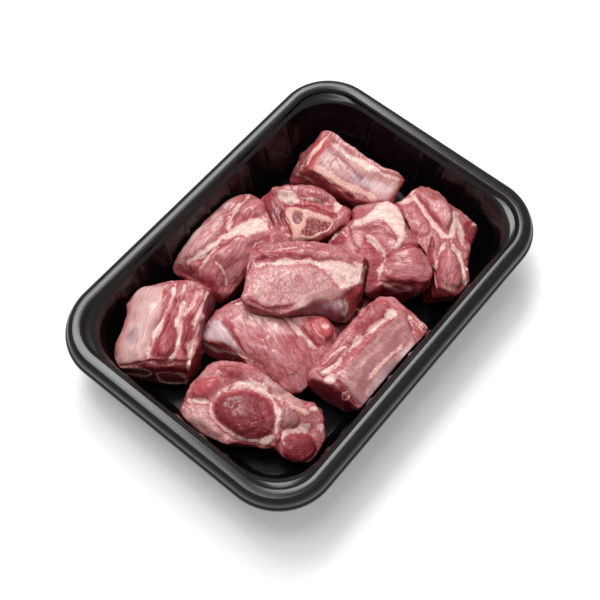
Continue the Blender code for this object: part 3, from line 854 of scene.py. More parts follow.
print("an oval mark has", len(spot("fat", (0, 0), 4, 4)["points"]), "points")

# %% [markdown]
# How deep a point lies inside a mark is a number that both relief and colour can use.
# Cutting the corners of a mark's path twice makes it bend as softly as flesh does.

# %% Depth inside a mark
BEND_ROUNDS = 2
NEAR_PART = 0.75
FAR_AWAY = 1e9
TAPER = 0.5
TAPER_POWER = 0.6


def bend(points, shut):
    """Cut the corners of a path twice, so that it bends softly."""
    points = np.array(points, float)
    for _ in range(BEND_ROUNDS):
        ahead = np.roll(points, -1, axis=0) if shut else points[1:]
        here = points if shut else points[:-1]
        early = here * NEAR_PART + ahead * (1.0 - NEAR_PART)
        late = here * (1.0 - NEAR_PART) + ahead * NEAR_PART
        corners = np.stack([early, late], axis=1).reshape(-1, 2)
        points = corners if shut else np.concatenate([points[:1], corners, points[-1:]])
    return points


def depth_in(mark, seen):
    """How far inside a mark the seen points lie, in pixels, and below 0 outside."""
    path = bend(mark["points"], mark["shut"])
    ends = np.roll(path, -1, axis=0) if mark["shut"] else path[1:]
    starts = path if mark["shut"] else path[:-1]
    nearest = np.full(len(seen), FAR_AWAY)
    along = np.zeros(len(seen))
    inside = np.zeros(len(seen), bool)
    for number, (start, end) in enumerate(zip(starts, ends)):
        run = end - start
        share = np.clip((seen - start) @ run / max(run @ run, TINY), 0.0, 1.0)
        apart = np.hypot(*(seen - start - share[:, None] * run).T)
        along = np.where(apart < nearest, (number + share) / len(ends), along)
        nearest = np.minimum(nearest, apart)
        if mark["shut"] and start[1] != end[1]:
            spans = (seen[:, 1] < start[1]) != (seen[:, 1] < end[1])
            cross = start[0] + (seen[:, 1] - start[1]) / run[1] * run[0]
            inside ^= spans & (seen[:, 0] < cross)
    if mark["shut"]:
        return np.where(inside, nearest, -nearest)
    width = TAPER + (1.0 - TAPER) * np.sin(np.pi * along) ** TAPER_POWER
    return mark["half"] * width - nearest


print("a seam of half width 2 is", depth_in(line("fat", 2.0, (0, 0), (9, 0)),
                                         np.array([[4.0, 0.5]]))[0], "px deep beside its line")

# %% [markdown]
# The marks of each piece follow. Fat and film lie on top of muscle, and bone stands out.
# A crease is a fold, darkened as painted shade. A ridge or a lobe stands out and has no colour of
# its own.
# Pale, rich and dark patches only shift how light or red the flesh is.
# A rib piece shows the inside of the chest: a pale membrane over the bone, with a rim of
# fat and bars of red muscle between.

# %% Marks of the rib pieces at the far end and at the left
MARKS = {}
MARKS["far_rib"] = [
    patch("film", (322, 151), (333, 143), (348, 152), (366, 163), (388, 173), (402, 179),
          (391, 199), (377, 201), (355, 194), (330, 181), (313, 168)),
    line("fat", 1.8, (331, 142), (346, 153), (362, 163), (382, 172), (402, 181)),
    line("bone", 3.0, (315, 167), (334, 179), (356, 190), (376, 200)),
    patch("silver", (348, 169), (366, 177), (384, 183), (397, 187), (391, 194), (370, 190),
          (352, 182)),
    line("dark", 1.6, (336, 154), (346, 162), (354, 172), (362, 179)),
    patch("pale", (360, 176), (384, 184), (396, 188), (388, 195), (368, 188)),
    line("rich", 1.5, (330, 170), (348, 182), (366, 191)),
    line("deep", 0.6, (337, 160), (351, 180)),
    spot("deep", (352, 179.5), 4, 3),
    spot("deep", (332.5, 148), 4, 4),
    line("fat", 1.4, (331, 131), (318, 144), (305, 161), (295, 176)),
    line("fat", 1.2, (295, 176), (303, 179), (313, 184)),
    line("fat", 1.0, (310, 150), (300, 166)),
    patch("raw", (306, 143), (326, 132), (331, 142), (313, 166), (306, 186), (289, 183)),
    line("crease", 1.4, (312, 172), (332, 185), (354, 197)),
    patch("raw", (306, 176), (322, 184), (330, 196), (308, 192)),
    line("pale", 3.0, (330, 188), (345, 193), (360, 200)),
    line("ridge", 4.0, (331, 131), (347, 145), (366, 160), (400, 174)),
    line("pale", 3.0, (333, 133), (350, 147), (368, 160), (402, 174)),
]
MARKS["left_rib"] = [
    patch("film", (136, 292), (146, 287), (164, 283), (161, 304), (160, 321), (151, 334),
          (146, 357), (134, 364), (118, 366), (117, 355), (122, 342), (129, 331), (130, 314)),
    patch("pale", (136, 292), (164, 283), (161, 304), (151, 334), (146, 357), (122, 364),
          (122, 342), (130, 314)),
    spot("silver", (134, 335), 9, 26, 25),
    spot("dark", (134, 337), 9, 18, 25),
    spot("rich", (165, 294), 6, 10, 20),
    line("fat", 1.6, (173, 286), (172, 296), (164, 316), (152, 339), (147, 360)),
    line("fat", 1.6, (183, 302), (179, 316), (179, 329), (178, 344), (171, 360)),
    line("fat", 1.3, (179, 316), (190, 308), (196, 300), (198, 291)),
    line("fat", 1.8, (210, 292), (202, 306), (195, 326), (191, 347), (189, 371)),
    patch("rich", (165, 318), (176, 322), (176, 345), (169, 360), (150, 356), (155, 336)),
    patch("dark", (182, 322), (192, 312), (196, 322), (190, 346), (182, 362)),
    patch("deep", (119, 368), (148, 361), (170, 364), (188, 362), (188, 384), (160, 383),
          (124, 374)),
    spot("bone", (136, 372), 34, 10, 8),
    spot("marrow", (136, 372), 29, 6, 8),
    spot("bone", (172, 379), 34, 12, 12),
    spot("marrow", (172, 379), 29, 8, 12),
    line("crease", 1.6, (118, 367), (148, 361), (170, 364), (190, 361)),
    line("crease", 1.2, (176, 300), (168, 318), (158, 338)),
    patch("lobe", (175, 292), (182, 306), (177, 330), (171, 354), (154, 354), (164, 322)),
    patch("lobe", (199, 298), (206, 298), (195, 326), (189, 350), (183, 350), (183, 322)),
    patch("silver", (204, 306), (214, 298), (218, 305), (205, 326), (200, 338), (196, 350)),
]
print("marks on the far rib:", len(MARKS["far_rib"]), "and on the left one:",
      len(MARKS["left_rib"]))

# %% [markdown]
# The right rib piece has its bone bared along the middle, and a sawn bone end at its front.
# Of the piece under the slab only a strip shows in the gap, darkened to nearly black as painted
# shade under the slab.

# %% Marks of the right rib piece and the piece under the slab
SHADED_UNDER_GAP = ((340, 290), (372, 290), (372, 326), (352, 332), (330, 360), (318, 352))
MARKS["right_rib"] = [
    patch("film", (386, 322), (409, 316), (413, 337), (415, 346), (405, 355), (377, 390),
          (362, 406), (356, 404), (340, 380), (351, 362)),
    line("rich", 2.6, (405, 329), (390, 342), (369, 362), (362, 375)),
    patch("dark", (386, 322), (409, 318), (412, 334), (404, 352), (377, 388), (360, 402),
          (342, 380), (356, 356)),
    line("bone", 0.9, (413, 336), (399, 348), (384, 362), (369, 380)),
    line("pale", 2.5, (414, 342), (398, 358), (382, 376), (368, 394)),
    line("pale", 1.2, (404, 322), (390, 337), (370, 356), (352, 374)),
    line("fat", 1.7, (385, 319), (370, 330), (356, 339), (349, 350)),
    line("fat", 1.4, (349, 346), (334, 365), (322, 373)),
    spot("fat", (391, 314), 10, 9),
    line("fat", 1.2, (322, 362), (336, 352), (350, 344)),
    line("fat", 1.5, (411, 316), (419, 322), (424, 332)),
    spot("fat", (427, 337), 6, 5),
    patch("rich", (369, 308), (380, 300), (392, 303), (385, 317), (362, 331), (352, 333)),
    patch("deep", (310, 376), (324, 384), (341, 384), (358, 405), (362, 414), (349, 411),
          (328, 401), (313, 388)),
    spot("bone", (345, 397), 7, 10, 20),
    spot("marrow", (345, 397), 5, 8, 20),
    spot("fat", (330, 379), 12, 11),
    spot("rich", (330, 379), 7, 7),
    line("crease", 1.5, (322, 375), (338, 381), (346, 392), (358, 404)),
    # This silver line along the bared bone is silverskin and also a painted glint.
    line("silver", 5.0, (413, 350), (396, 366), (378, 388), (366, 404)),
    line("crease", 1.2, (409, 317), (412, 330), (416, 345)),
    patch("lobe", (368, 309), (380, 301), (391, 304), (382, 318), (352, 340), (336, 361),
          (324, 364), (344, 340), (354, 330)),
]
MARKS["under_chunk"] = [
    line("fat", 0.7, (352, 300), (360, 310), (364, 320)),
    # Painted shade: the strip in the gap is darkened where the slab shades it.
    patch("dark", *SHADED_UNDER_GAP),
    patch("deep", *SHADED_UNDER_GAP),
]
print("marks on the right rib:", len(MARKS["right_rib"]))

# %% [markdown]
# The slab is one oval muscle, cut across, under a cream seam that widens to the right.
# The piece below it shows its fibres from the side, and a silvery skin at its left corner.

# %% Marks of the slab on top and the piece below it
MARKS["centre_slab"] = [
    line("fat", 1.6, (250, 266), (268, 262), (288, 260), (304, 260), (318, 263), (330, 273),
         (340, 283)),
    patch("fat", (312, 260), (336, 262), (356, 265), (365, 268), (364, 283), (352, 286),
          (341, 289), (337, 280), (328, 270)),
    line("dark", 1.0, (262, 257), (290, 254), (312, 258)),
    patch("film", (287, 308), (300, 299), (311, 292), (332, 286), (351, 285), (345, 296),
          (322, 301), (300, 309)),
    patch("silver", (284, 311), (300, 307), (322, 302), (346, 297), (352, 312), (347, 326),
          (329, 320), (316, 315)),
    line("fat", 1.6, (357, 262), (364, 264), (362, 274)),
    line("raw", 2.6, (360, 278), (358, 290), (354, 304)),
    spot("rich", (358, 291), 4, 7),
    line("crease", 1.3, (256, 260), (264, 256), (272, 255)),
    line("crease", 1.2, (249, 300), (266, 309), (288, 308), (300, 300)),
    patch("deep", (247, 303), (266, 310), (284, 311), (284, 315), (262, 313), (247, 310)),
    line("fat", 0.8, (258, 248), (276, 249), (296, 246)),
    patch("lobe", (258, 252), (290, 248), (322, 250), (346, 259), (322, 259), (298, 256),
          (268, 258)),
    line("fat", 0.9, (346, 300), (350, 310), (346, 324)),
    patch("pale", (252, 270), (272, 264), (300, 263), (320, 268), (334, 280), (326, 288),
          (308, 294), (290, 304), (268, 304), (250, 296)),
]
MARKS["lower_chunk"] = [
    patch("silver", (201, 337), (207, 325), (216, 315), (222, 323), (235, 337), (240, 349),
          (247, 356), (234, 350), (221, 342), (207, 338)),
    patch("pale", (201, 337), (216, 315), (240, 349), (221, 342)),
    patch("rich", (202, 340), (222, 345), (238, 354), (222, 354), (203, 347)),
    line("fat", 1.8, (203, 347), (220, 353), (244, 358), (262, 367)),
    line("fat", 1.6, (284, 315), (292, 322), (300, 332), (309, 341), (318, 348)),
    patch("raw", (305, 318), (322, 317), (333, 326), (331, 338), (322, 344), (312, 334)),
    spot("fat", (324, 327), 6, 3, 30),
    line("fat", 1.0, (312, 322), (318, 334), (326, 342)),
    line("crease", 1.3, (303, 327), (311, 337), (321, 346)),
    patch("lobe", (306, 319), (321, 318), (331, 327), (329, 337), (322, 341), (312, 332)),
    line("pale", 9.0, (236, 306), (262, 316), (288, 330)),
    line("fat", 1.0, (236, 302), (262, 300), (292, 308)),
    line("ridge", 7.0, (232, 322), (262, 344), (290, 372)),
    line("crease", 1.0, (222, 322), (236, 338), (246, 355)),
]
print("marks on the slab:", len(MARKS["centre_slab"]), "and below it:",
      len(MARKS["lower_chunk"]))

# %% [markdown]
# A loin cut is known by its eye: one round muscle in a ring of fat. A smaller muscle sits
# beside it, past a thin rib, and the rim is a rolled flap of fat and lean.
# The eye is marked rich twice, because it is the deepest red of the whole pack.

# %% Marks of the loin piece
LOIN_EYE = ((214, 402), (226, 393), (248, 391), (266, 397), (275, 412), (273, 430),
            (262, 439), (244, 437), (227, 426), (214, 415))
MARKS["loin_chunk"] = [
    line("fat", 2.2, (213, 397), (222, 389), (240, 386), (258, 387), (270, 393), (277, 405),
         (280, 420), (276, 438), (262, 443)),
    line("fat", 1.6, (210, 397), (209, 408), (213, 420), (225, 430), (240, 441), (260, 443)),
    patch("rich", *LOIN_EYE),
    patch("rich", *LOIN_EYE),
    line("fat", 2.0, (222, 388), (236, 383), (254, 384), (268, 390)),
    spot("fat", (305, 427), 13, 8, -10),
    spot("dark", (299, 446), 34, 30),
    spot("lobe", (299, 447), 30, 26),
    line("fat", 1.5, (282, 446), (284, 434), (294, 429), (310, 432)),
    patch("raw", (190, 396), (196, 382), (212, 377), (221, 381), (214, 392), (203, 397)),
    patch("lobe", (190, 395), (197, 383), (212, 378), (219, 382), (212, 391), (203, 396)),
    patch("lobe", (216, 368), (240, 368), (264, 376), (288, 394), (270, 388), (246, 380)),
    patch("rich", (215, 366), (228, 365), (241, 369), (240, 378), (224, 379)),
    patch("pale", (186, 404), (200, 400), (208, 410), (212, 424), (226, 434), (240, 443),
          (226, 445), (204, 436), (187, 422)),
    line("fat", 1.4, (187, 399), (203, 399), (212, 404)),
    patch("film", (278, 404), (291, 408), (300, 418), (296, 428), (284, 428), (280, 416)),
    patch("dark", (280, 404), (300, 414), (298, 430), (282, 430)),
    line("bone", 2.2, (267, 391), (276, 396), (286, 402), (298, 408), (308, 414)),
    patch("film", (262, 374), (276, 382), (292, 393), (306, 404), (300, 410), (284, 400),
          (268, 388)),
    spot("fat", (314, 409), 8, 6),
    spot("fat", (321, 428), 6, 6),
    line("crease", 1.4, (276, 446), (283, 436), (282, 422)),
    line("crease", 1.2, (190, 398), (203, 399), (211, 402)),
    line("ridge", 10.0, (232, 410), (255, 420)),
]
print("marks on the loin:", len(MARKS["loin_chunk"]))

# %% [markdown]
# The shoulder piece has a broad seam between two muscles that run in different ways.
# The bone piece shows a sawn bone: a hard pale rim, and dark marrow in two hollows.

# %% Marks of the shoulder piece and the bone piece
MARKS["shoulder_chunk"] = [
    line("fat", 2.8, (187, 264), (201, 253), (217, 241), (226, 233), (236, 231), (249, 223),
         (259, 217)),
    patch("fat", (238, 230), (246, 222), (258, 216), (266, 222), (272, 229), (256, 233),
          (244, 236)),
    line("film", 2.5, (183, 250), (197, 235), (212, 219), (226, 206)),
    line("fat", 1.3, (228, 226), (231, 216), (237, 207), (248, 197)),
    line("fat", 1.4, (198, 271), (205, 260), (215, 246)),
    line("fat", 1.4, (254, 247), (257, 243), (262, 238)),
    patch("rich", (262, 235), (270, 232), (281, 236), (280, 242), (262, 241)),
    line("rich", 3.0, (204, 276), (212, 288), (222, 300)),
    patch("pale", (178, 258), (192, 240), (206, 223), (222, 210), (224, 228), (204, 246),
          (188, 262)),
    line("crease", 1.6, (188, 270), (201, 259), (217, 247), (234, 239)),
    line("crease", 1.2, (228, 232), (232, 218), (240, 206)),
    patch("deep", (176, 262), (188, 266), (198, 273), (208, 288), (188, 277), (177, 272)),
    patch("lobe", (182, 258), (196, 241), (212, 224), (224, 212), (226, 224), (210, 240),
          (190, 257)),
    patch("lobe", (238, 200), (252, 194), (262, 202), (264, 213), (246, 216), (234, 212)),
    line("ridge", 5.0, (222, 262), (240, 252)),
    line("fat", 0.8, (216, 262), (224, 268), (227, 284)),
]
MARKS["bone_chunk"] = [
    patch("bone", (285, 209), (295, 207), (311, 211), (337, 219), (327, 232), (314, 238),
          (300, 241), (290, 243), (294, 232), (287, 222)),
    patch("marrow", (292, 212), (300, 210), (304, 216), (299, 224), (293, 222)),
    patch("marrow", (306, 218), (315, 217), (326, 221), (333, 222), (326, 230), (316, 235),
          (304, 236), (301, 231), (307, 225)),
    patch("fat", (275, 195), (284, 192), (300, 197), (298, 204), (284, 203)),
    spot("fat", (283, 229), 5, 4),
    spot("fat", (286, 236), 5, 4),
    patch("dark", (262, 202), (270, 192), (279, 203), (284, 214), (282, 228), (270, 220)),
    patch("dark", (293, 213), (300, 211), (303, 216), (299, 223), (294, 221)),
    patch("lobe", (270, 190), (290, 187), (312, 189), (330, 197), (322, 202), (300, 195),
          (276, 196)),
    line("raw", 1.5, (301, 200), (316, 206), (334, 207)),
    line("fat", 1.0, (300, 197), (314, 198), (330, 204)),
    line("crease", 1.5, (284, 206), (298, 205), (316, 208), (336, 216)),
    line("crease", 1.4, (282, 210), (286, 222), (290, 234)),
    line("ridge", 4.5, (276, 192), (296, 190), (318, 193), (332, 202)),
    line("ridge", 4.0, (340, 205), (350, 212), (345, 222)),
    patch("fat", (334, 202), (342, 203), (340, 212), (334, 211)),
]
print("marks on the shoulder:", len(MARKS["shoulder_chunk"]), "and on the sawn bone:",
      len(MARKS["bone_chunk"]))

# %% [markdown]
# The last two pieces are bundles of small muscles. A thick curl of fat lies over the first,
# and branching seams part the second.

# %% Marks of the two pieces at the right
MARKS["fat_cap_chunk"] = [
    patch("fat", (347, 228), (356, 222), (368, 217), (374, 208), (382, 202), (392, 205),
          (400, 214), (406, 225), (407, 237), (398, 249), (393, 249), (398, 241), (393, 230),
          (384, 222), (372, 221), (360, 228)),
    line("fat", 2.0, (383, 251), (386, 258), (382, 266), (378, 280)),
    line("fat", 1.4, (366, 234), (374, 240), (380, 246), (385, 252)),
    patch("pale", (347, 230), (360, 229), (362, 240), (357, 251), (348, 246)),
    patch("rich", (361, 238), (372, 243), (380, 252), (378, 272), (374, 296), (364, 286)),
    patch("lobe", (386, 260), (400, 251), (411, 247), (422, 253), (432, 269), (425, 284),
          (405, 280), (382, 277)),
    patch("lobe", (350, 226), (368, 214), (384, 203), (396, 207), (406, 228), (402, 246),
          (394, 240), (380, 224), (362, 230)),
    line("rich", 3.0, (388, 276), (406, 280), (424, 284)),
    patch("deep", (379, 284), (405, 284), (418, 288), (408, 298), (398, 303), (380, 300)),
    line("film", 1.2, (384, 286), (398, 292), (410, 290)),
    patch("dark", (328, 230), (344, 229), (346, 243), (332, 245)),
    line("fat", 0.9, (331, 236), (338, 231), (346, 234)),
    line("crease", 1.6, (382, 262), (388, 254), (400, 248), (411, 244), (422, 249)),
    line("crease", 1.3, (378, 282), (396, 283), (416, 287)),
    line("crease", 1.2, (364, 236), (374, 243), (382, 252)),
    line("ridge", 6.0, (376, 230), (390, 238)),
    line("ridge", 5.0, (368, 250), (370, 280)),
    line("crease", 1.2, (348, 228), (352, 240), (358, 252)),
]
MARKS["right_chunk"] = [
    line("fat", 2.0, (412, 194), (424, 207), (433, 222), (440, 231), (450, 237), (456, 226),
         (457, 212)),
    line("fat", 2.2, (449, 237), (458, 249), (465, 262), (467, 284)),
    line("fat", 1.8, (458, 212), (462, 226), (464, 244)),
    line("fat", 1.4, (447, 240), (439, 253), (434, 268)),
    patch("fat", (398, 201), (408, 195), (416, 198), (410, 203), (400, 206)),
    patch("lobe", (402, 210), (412, 206), (422, 214), (430, 228), (426, 236), (410, 230)),
    patch("dark", (466, 219), (478, 226), (474, 246), (466, 240)),
    patch("lobe", (424, 198), (440, 200), (452, 212), (450, 226), (442, 226), (432, 212)),
    patch("pale", (426, 200), (440, 202), (450, 214), (446, 224), (434, 212)),
    patch("lobe", (442, 252), (452, 246), (461, 260), (463, 284), (444, 286), (438, 268)),
    line("rich", 2.5, (437, 256), (436, 272), (440, 288)),
    # The deep patch along this piece's foot is painted shade on its undercut side.
    patch("deep", (410, 286), (436, 290), (460, 293), (458, 301), (431, 306), (409, 301)),
    patch("rich", (466, 219), (476, 226), (472, 240), (466, 240)),
    spot("fat", (474, 225), 5, 4),
    line("crease", 1.4, (418, 196), (430, 210), (440, 226)),
    line("crease", 1.2, (450, 240), (459, 254), (464, 270)),
    line("crease", 1.3, (432, 238), (430, 256), (434, 276)),
    line("ridge", 6.0, (414, 214), (422, 228)),
    line("ridge", 6.0, (440, 206), (448, 222)),
    line("ridge", 7.0, (448, 258), (452, 280)),
]
print("marks in all:", sum(len(marks) for marks in MARKS.values()))

# %% [markdown]
# Each mark changes three things on the points that it covers: how far they stand out, how
# light the flesh is, and how deep they lie in a tissue. All heights are millimetres.
# Beside a seam the flesh sinks in a broad valley, because fat is stiffer than muscle.

# %% Tissues and their relief
TISSUES = ("fat", "film", "silver", "bone", "marrow", "deep", "raw")
RELIEF = {"fat": 0.22, "film": 0.15, "silver": 0.05, "bone": 0.35, "marrow": -0.7,
          "deep": -0.3, "crease": -1.2, "ridge": 0.8, "lobe": 1.5, "dark": 0.15,
          "rich": 0.15, "pale": 0.1, "raw": 0.2}
# The darkening of a crease is painted shade in its fold.
TONES = {"pale": 0.6, "rich": -0.45, "dark": -0.8, "crease": -0.7}
SOFT_EDGE = {"ridge": 6.0, "lobe": 3.0, "crease": 1.6, "dark": 3.0, "pale": 4.0,
             "rich": 3.0, "fat": 1.3}
USUAL_SOFT_EDGE = 2.0
SOFT_EDGE_INSIDE = 0.5
DEEPEST = 6.0
VALLEY = 1.7
VALLEY_WIDTH = 5.5
SEAM_SWELL = 1.0
SEAM_SWELL_SIZE = 5.0
LEAST_SWELL = 0.6
SWELL_SEED = 51

print("tissues with a colour of their own:", len(TISSUES))

# %% [markdown]
# The sides that the photo doesn't show have no marks. Real chunks have thin seams of fat
# there too, so the places where a smooth noise passes through zero stand in for them.

# %% Seams on the hidden sides
HIDDEN_BEND = 4.0
HIDDEN_BEND_SIZE = 9.0
HIDDEN_SIZE = 15.0
HIDDEN_WIDTH = 0.07
HIDDEN_SCALE = 26.0
HIDDEN_SEED = 71
HIDDEN_SHEET_STEP = 5


def hidden_fat(points, seed):
    """Depth in px inside the seams of fat on sides that the photo doesn't show."""
    drift = [soft_noise(points, HIDDEN_BEND_SIZE, seed + axis) for axis in range(3)]
    bent = points + HIDDEN_BEND * np.stack(drift, axis=1)
    sheets = np.abs(soft_noise(bent, HIDDEN_SIZE, seed + HIDDEN_SHEET_STEP))
    return (HIDDEN_WIDTH - sheets) * HIDDEN_SCALE


trial = hidden_fat(np.random.default_rng(2).uniform(0, 99, (4000, 3)), HIDDEN_SEED)
print("share of a hidden side that is fat:", (trial > 0).mean().round(2))

# %% [markdown]
# With those two cells, the marks of a piece become numbers on its points.

# %% Put the marks on a piece
def mark_points(number, name, base, facing, seen):
    """How far points stand out, how light they are and how deep in each tissue they lie."""
    depth = {tissue: np.full(len(base), -DEEPEST) for tissue in TISSUES}
    rise = np.zeros(len(base))
    tone_and_shade = np.zeros(len(base))
    valley = np.zeros(len(base))
    swell = soft_noise(base, SEAM_SWELL_SIZE, SWELL_SEED + number) * SEAM_SWELL
    for mark in MARKS[name]:
        tissue = mark["tissue"]
        inside = depth_in(mark, seen) + swell * (mark["half"] + LEAST_SWELL)
        soft = SOFT_EDGE.get(tissue, USUAL_SOFT_EDGE)
        strength = soft_step(inside, -soft, soft * SOFT_EDGE_INSIDE) * facing
        rise += RELIEF[tissue] * strength
        tone_and_shade += TONES.get(tissue, 0.0) * strength
        if tissue in depth:
            depth[tissue] = np.maximum(depth[tissue], inside)
        if tissue == "fat" and not mark["shut"]:
            beside = np.exp(-(np.minimum(inside, 0.0) / VALLEY_WIDTH) ** 2)
            valley = np.maximum(valley, beside * facing)
    for tissue in TISSUES:
        hidden = hidden_fat(base, HIDDEN_SEED + number) if tissue == "fat" else -DEEPEST
        shown = depth[tissue] * facing + hidden * (1.0 - facing)
        depth[tissue] = np.clip(shown, -DEEPEST, DEEPEST)
    return rise - VALLEY * valley, tone_and_shade, depth


print("a seam stands out", RELIEF["fat"], "mm in a valley of", VALLEY, "mm")

# %% [markdown]
# A cleaver leaves flat faces with edges between them, and torn bits of muscle along the
# cuts. The faces are sliced off at random but fixed angles, and less from a rib piece,
# whose bone keeps it square. The torn bits are small round lumps along the edges.

# %% Cleaver facets and nubs
FACETS = 16
FACET_CUT = (0.3, 2.0)
RIB_FACET_CUT = (0.1, 0.9)
FACET_SOFTNESS = 0.35
FACET_SEED = 5
NUBS = 16
NUB_RADIUS = (1.6, 3.4)
NUB_HEIGHT = (0.4, 1.2)
NUB_SLOPES = (0.15, 0.85)
NUB_SEED = 40


def cut_facets(points, centre, seed, cut):
    """Slice flat faces off a piece, as a cleaver leaves them, with slightly soft edges."""
    chance = np.random.default_rng(seed)
    away = points - centre
    for _ in range(FACETS):
        way = chance.normal(size=3)
        way[2] = abs(way[2])
        way = way / np.linalg.norm(way)
        along = away @ way
        over = (along - along.max() + chance.uniform(*cut)) / FACET_SOFTNESS
        over = np.logaddexp(0.0, over) * FACET_SOFTNESS
        away = away - over[:, None] * way
    return centre + away


def edge_nubs(points, normal, seed):
    """Height of small lumps along the cut edges."""
    chance = np.random.default_rng(seed)
    edge = np.flatnonzero((normal[:, 2] > NUB_SLOPES[0]) & (normal[:, 2] < NUB_SLOPES[1]))
    rise = np.zeros(len(points))
    for start in points[chance.choice(edge, NUBS)]:
        radius = chance.uniform(*NUB_RADIUS)
        away = np.linalg.norm(points - start, axis=1) / radius
        rise += chance.uniform(*NUB_HEIGHT) * np.exp(-away ** 2)
    return rise


trial = cut_facets(coarse_net[0] * 30.0, np.zeros(3), FACET_SEED, FACET_CUT)
print("facets leave a ball of 30 mm at least", np.linalg.norm(trial, axis=1).min().round(1))

# %% [markdown]
# Muscle is made of bundles of fibres, and each piece has its own run of them, given here as
# a direction in the tray's frame. Noise that is squeezed along that direction gives fine
# ridges and the grooves between bundles, which are darkened as painted shade. Plain noise of
# three sizes gives the soft lumps.

# %% Fibres, lumps and grooves
FIBRES = {
    "centre_slab": (0.3, 0.35, 0.9), "lower_chunk": (-0.31, -0.95, -0.1),
    "right_rib": (-0.1, 1.0, 0.1), "left_rib": (0.9, 0.35, 0.1),
    "loin_chunk": (-0.2, -0.2, 0.95), "far_rib": (1.0, 0.1, 0.1),
    "shoulder_chunk": (1.0, 0.15, 0.2), "fat_cap_chunk": (0.6, -0.7, 0.2),
    "right_chunk": (0.7, 0.3, 0.5), "bone_chunk": (0.5, 0.7, 0.3),
    "under_chunk": (1.0, 0.2, 0.1),
}
OFF_AXIS = (0.31, 0.57, 0.76)
LUMPS = ((13.0, 0.5), (6.0, 0.28), (3.2, 0.14))
LUMP_SEED = 101
GROOVES = ((5.0, 0.28), (2.7, 0.16))
GROOVE_RUN = 0.35
GROOVE_BEND = (1.2, -1.2, 0.0)
GROOVE_POWER = 8
GROOVE_SHADE = 0.3
GROOVE_SHADE_POWER = 12
GROOVE_SEED = 191
FINE_RIDGES = ((2.2, 0.2, 0.22, 151), (1.1, 0.1, 0.3, 171))


def grain_frame(points, fibre):
    """The points turned so that their last number runs along the fibres."""
    along = np.array(fibre) / np.linalg.norm(fibre)
    side = np.cross(along, OFF_AXIS)
    side = side / np.linalg.norm(side)
    return points @ np.stack([side, np.cross(along, side), along], axis=1)


def flesh_relief(number, base, grain, bend_share, fleshy):
    """How lumps, grooves and fibres lift the points, and the painted shade that darkens the
    grooves.
    """
    rise = np.zeros(len(base))
    tone_and_shade = np.zeros(len(base))
    for size, height in LUMPS:
        rise += height * soft_noise(base, size, LUMP_SEED + number)
    bent = grain * (1.0, 1.0, GROOVE_RUN) + bend_share[:, None] * GROOVE_BEND
    for size, depth in GROOVES:
        groove = 1.0 - np.abs(soft_noise(bent, size, GROOVE_SEED + number))
        rise -= depth * fleshy * groove ** GROOVE_POWER
        # Painted shade: the flesh is darkened in the grooves.
        tone_and_shade -= GROOVE_SHADE * fleshy * groove ** GROOVE_SHADE_POWER
    for size, height, run, seed in FINE_RIDGES:
        rise += height * fleshy * soft_noise(grain * (1.0, 1.0, run), size, seed + number)
    return rise, tone_and_shade


print("lumps are", [size for size, _ in LUMPS], "mm wide")

# %% [markdown]
# Now each piece is made: its form is cut, marked, lifted, and held back where it would
# touch the tray or a neighbour. A membrane or a bone is smoother than the muscle round it,
# and the steep sides and the under side of a piece are darkened as painted shade.

# %% Dress the pieces
RIB_PIECES = ("right_rib", "left_rib", "far_rib")
FACING_CAMERA = (0.02, 0.3)
WOBBLE = 1.3
WOBBLE_SIZE = 4.5
WOBBLE_SEEDS = (11, 31)
SKIN_CALM = 0.7
SIDE_SHADE = -0.85
UPRIGHT = 0.75


def dress_piece(number, name):
    """The finished mesh of one piece, with its relief and its numbers for colour."""
    form = forms[name]
    facet_cut = RIB_FACET_CUT if name in RIB_PIECES else FACET_CUT
    base = cut_facets(form.surface(fine_net[0]), form.centre, FACET_SEED + number, facet_cut)
    normal = outward(base, fine_net[2])
    to_camera = CAMERA_PLACE - base
    to_camera = to_camera / np.linalg.norm(to_camera, axis=1)[:, None]
    facing = soft_step((normal * to_camera).sum(axis=1), *FACING_CAMERA)
    wobble = np.stack([soft_noise(base, WOBBLE_SIZE, seed + number)
                       for seed in WOBBLE_SEEDS], axis=1)
    seen = sight(base) + wobble * WOBBLE
    rise, tone_and_shade, depth = mark_points(number, name, base, facing, seen)
    rise += edge_nubs(base, normal, NUB_SEED + number)
    grain = grain_frame(base, FIBRES[name])
    skin = soft_step(np.maximum(depth["bone"], depth["film"]), -1.0, 1.0)
    flesh = flesh_relief(number, base, grain, wobble[:, 0], 1.0 - SKIN_CALM * skin)
    rise += flesh[0]
    # Painted shade: steep sides and the under side are darkened.
    tone_and_shade += flesh[1] + SIDE_SHADE * (1.0 - soft_step(normal[:, 2], 0.0, UPRIGHT))
    limit = refine(limits[name], coarse_net[1], fine_net[1])
    run = base + normal * rise[:, None] - form.centre
    held_back = np.minimum(1.0, limit / np.linalg.norm(run, axis=1))
    item = make_mesh(name + "_meat", form.centre + run * held_back[:, None], fine_net[2])
    for tissue in TISSUES:
        store(item, tissue, depth[tissue])
    store(item, "tone_and_shade", np.clip(tone_and_shade, -1.0, 1.0))
    store(item, "grain", grain)
    return item


meat = {name: dress_piece(number, name) for number, name in enumerate(PIECES)}
print("meat triangles:", sum(2 * len(item.data.polygons) for item in meat.values()))

# %% [markdown]
# Painted textures would need a photo or hours of handwork. Nodes can instead mix plain
# colours by the numbers that the points hold. These helpers keep the trees short to write.

# %% Helpers for shader trees
def new_group(name, inputs, outputs):
    """An empty shader group with named inputs and outputs."""
    tree = bpy.data.node_groups.new(name, "ShaderNodeTree")
    for side, sockets in (("INPUT", inputs), ("OUTPUT", outputs)):
        for title, kind in sockets:
            tree.interface.new_socket(title, in_out=side, socket_type="NodeSocket" + kind)
    return tree


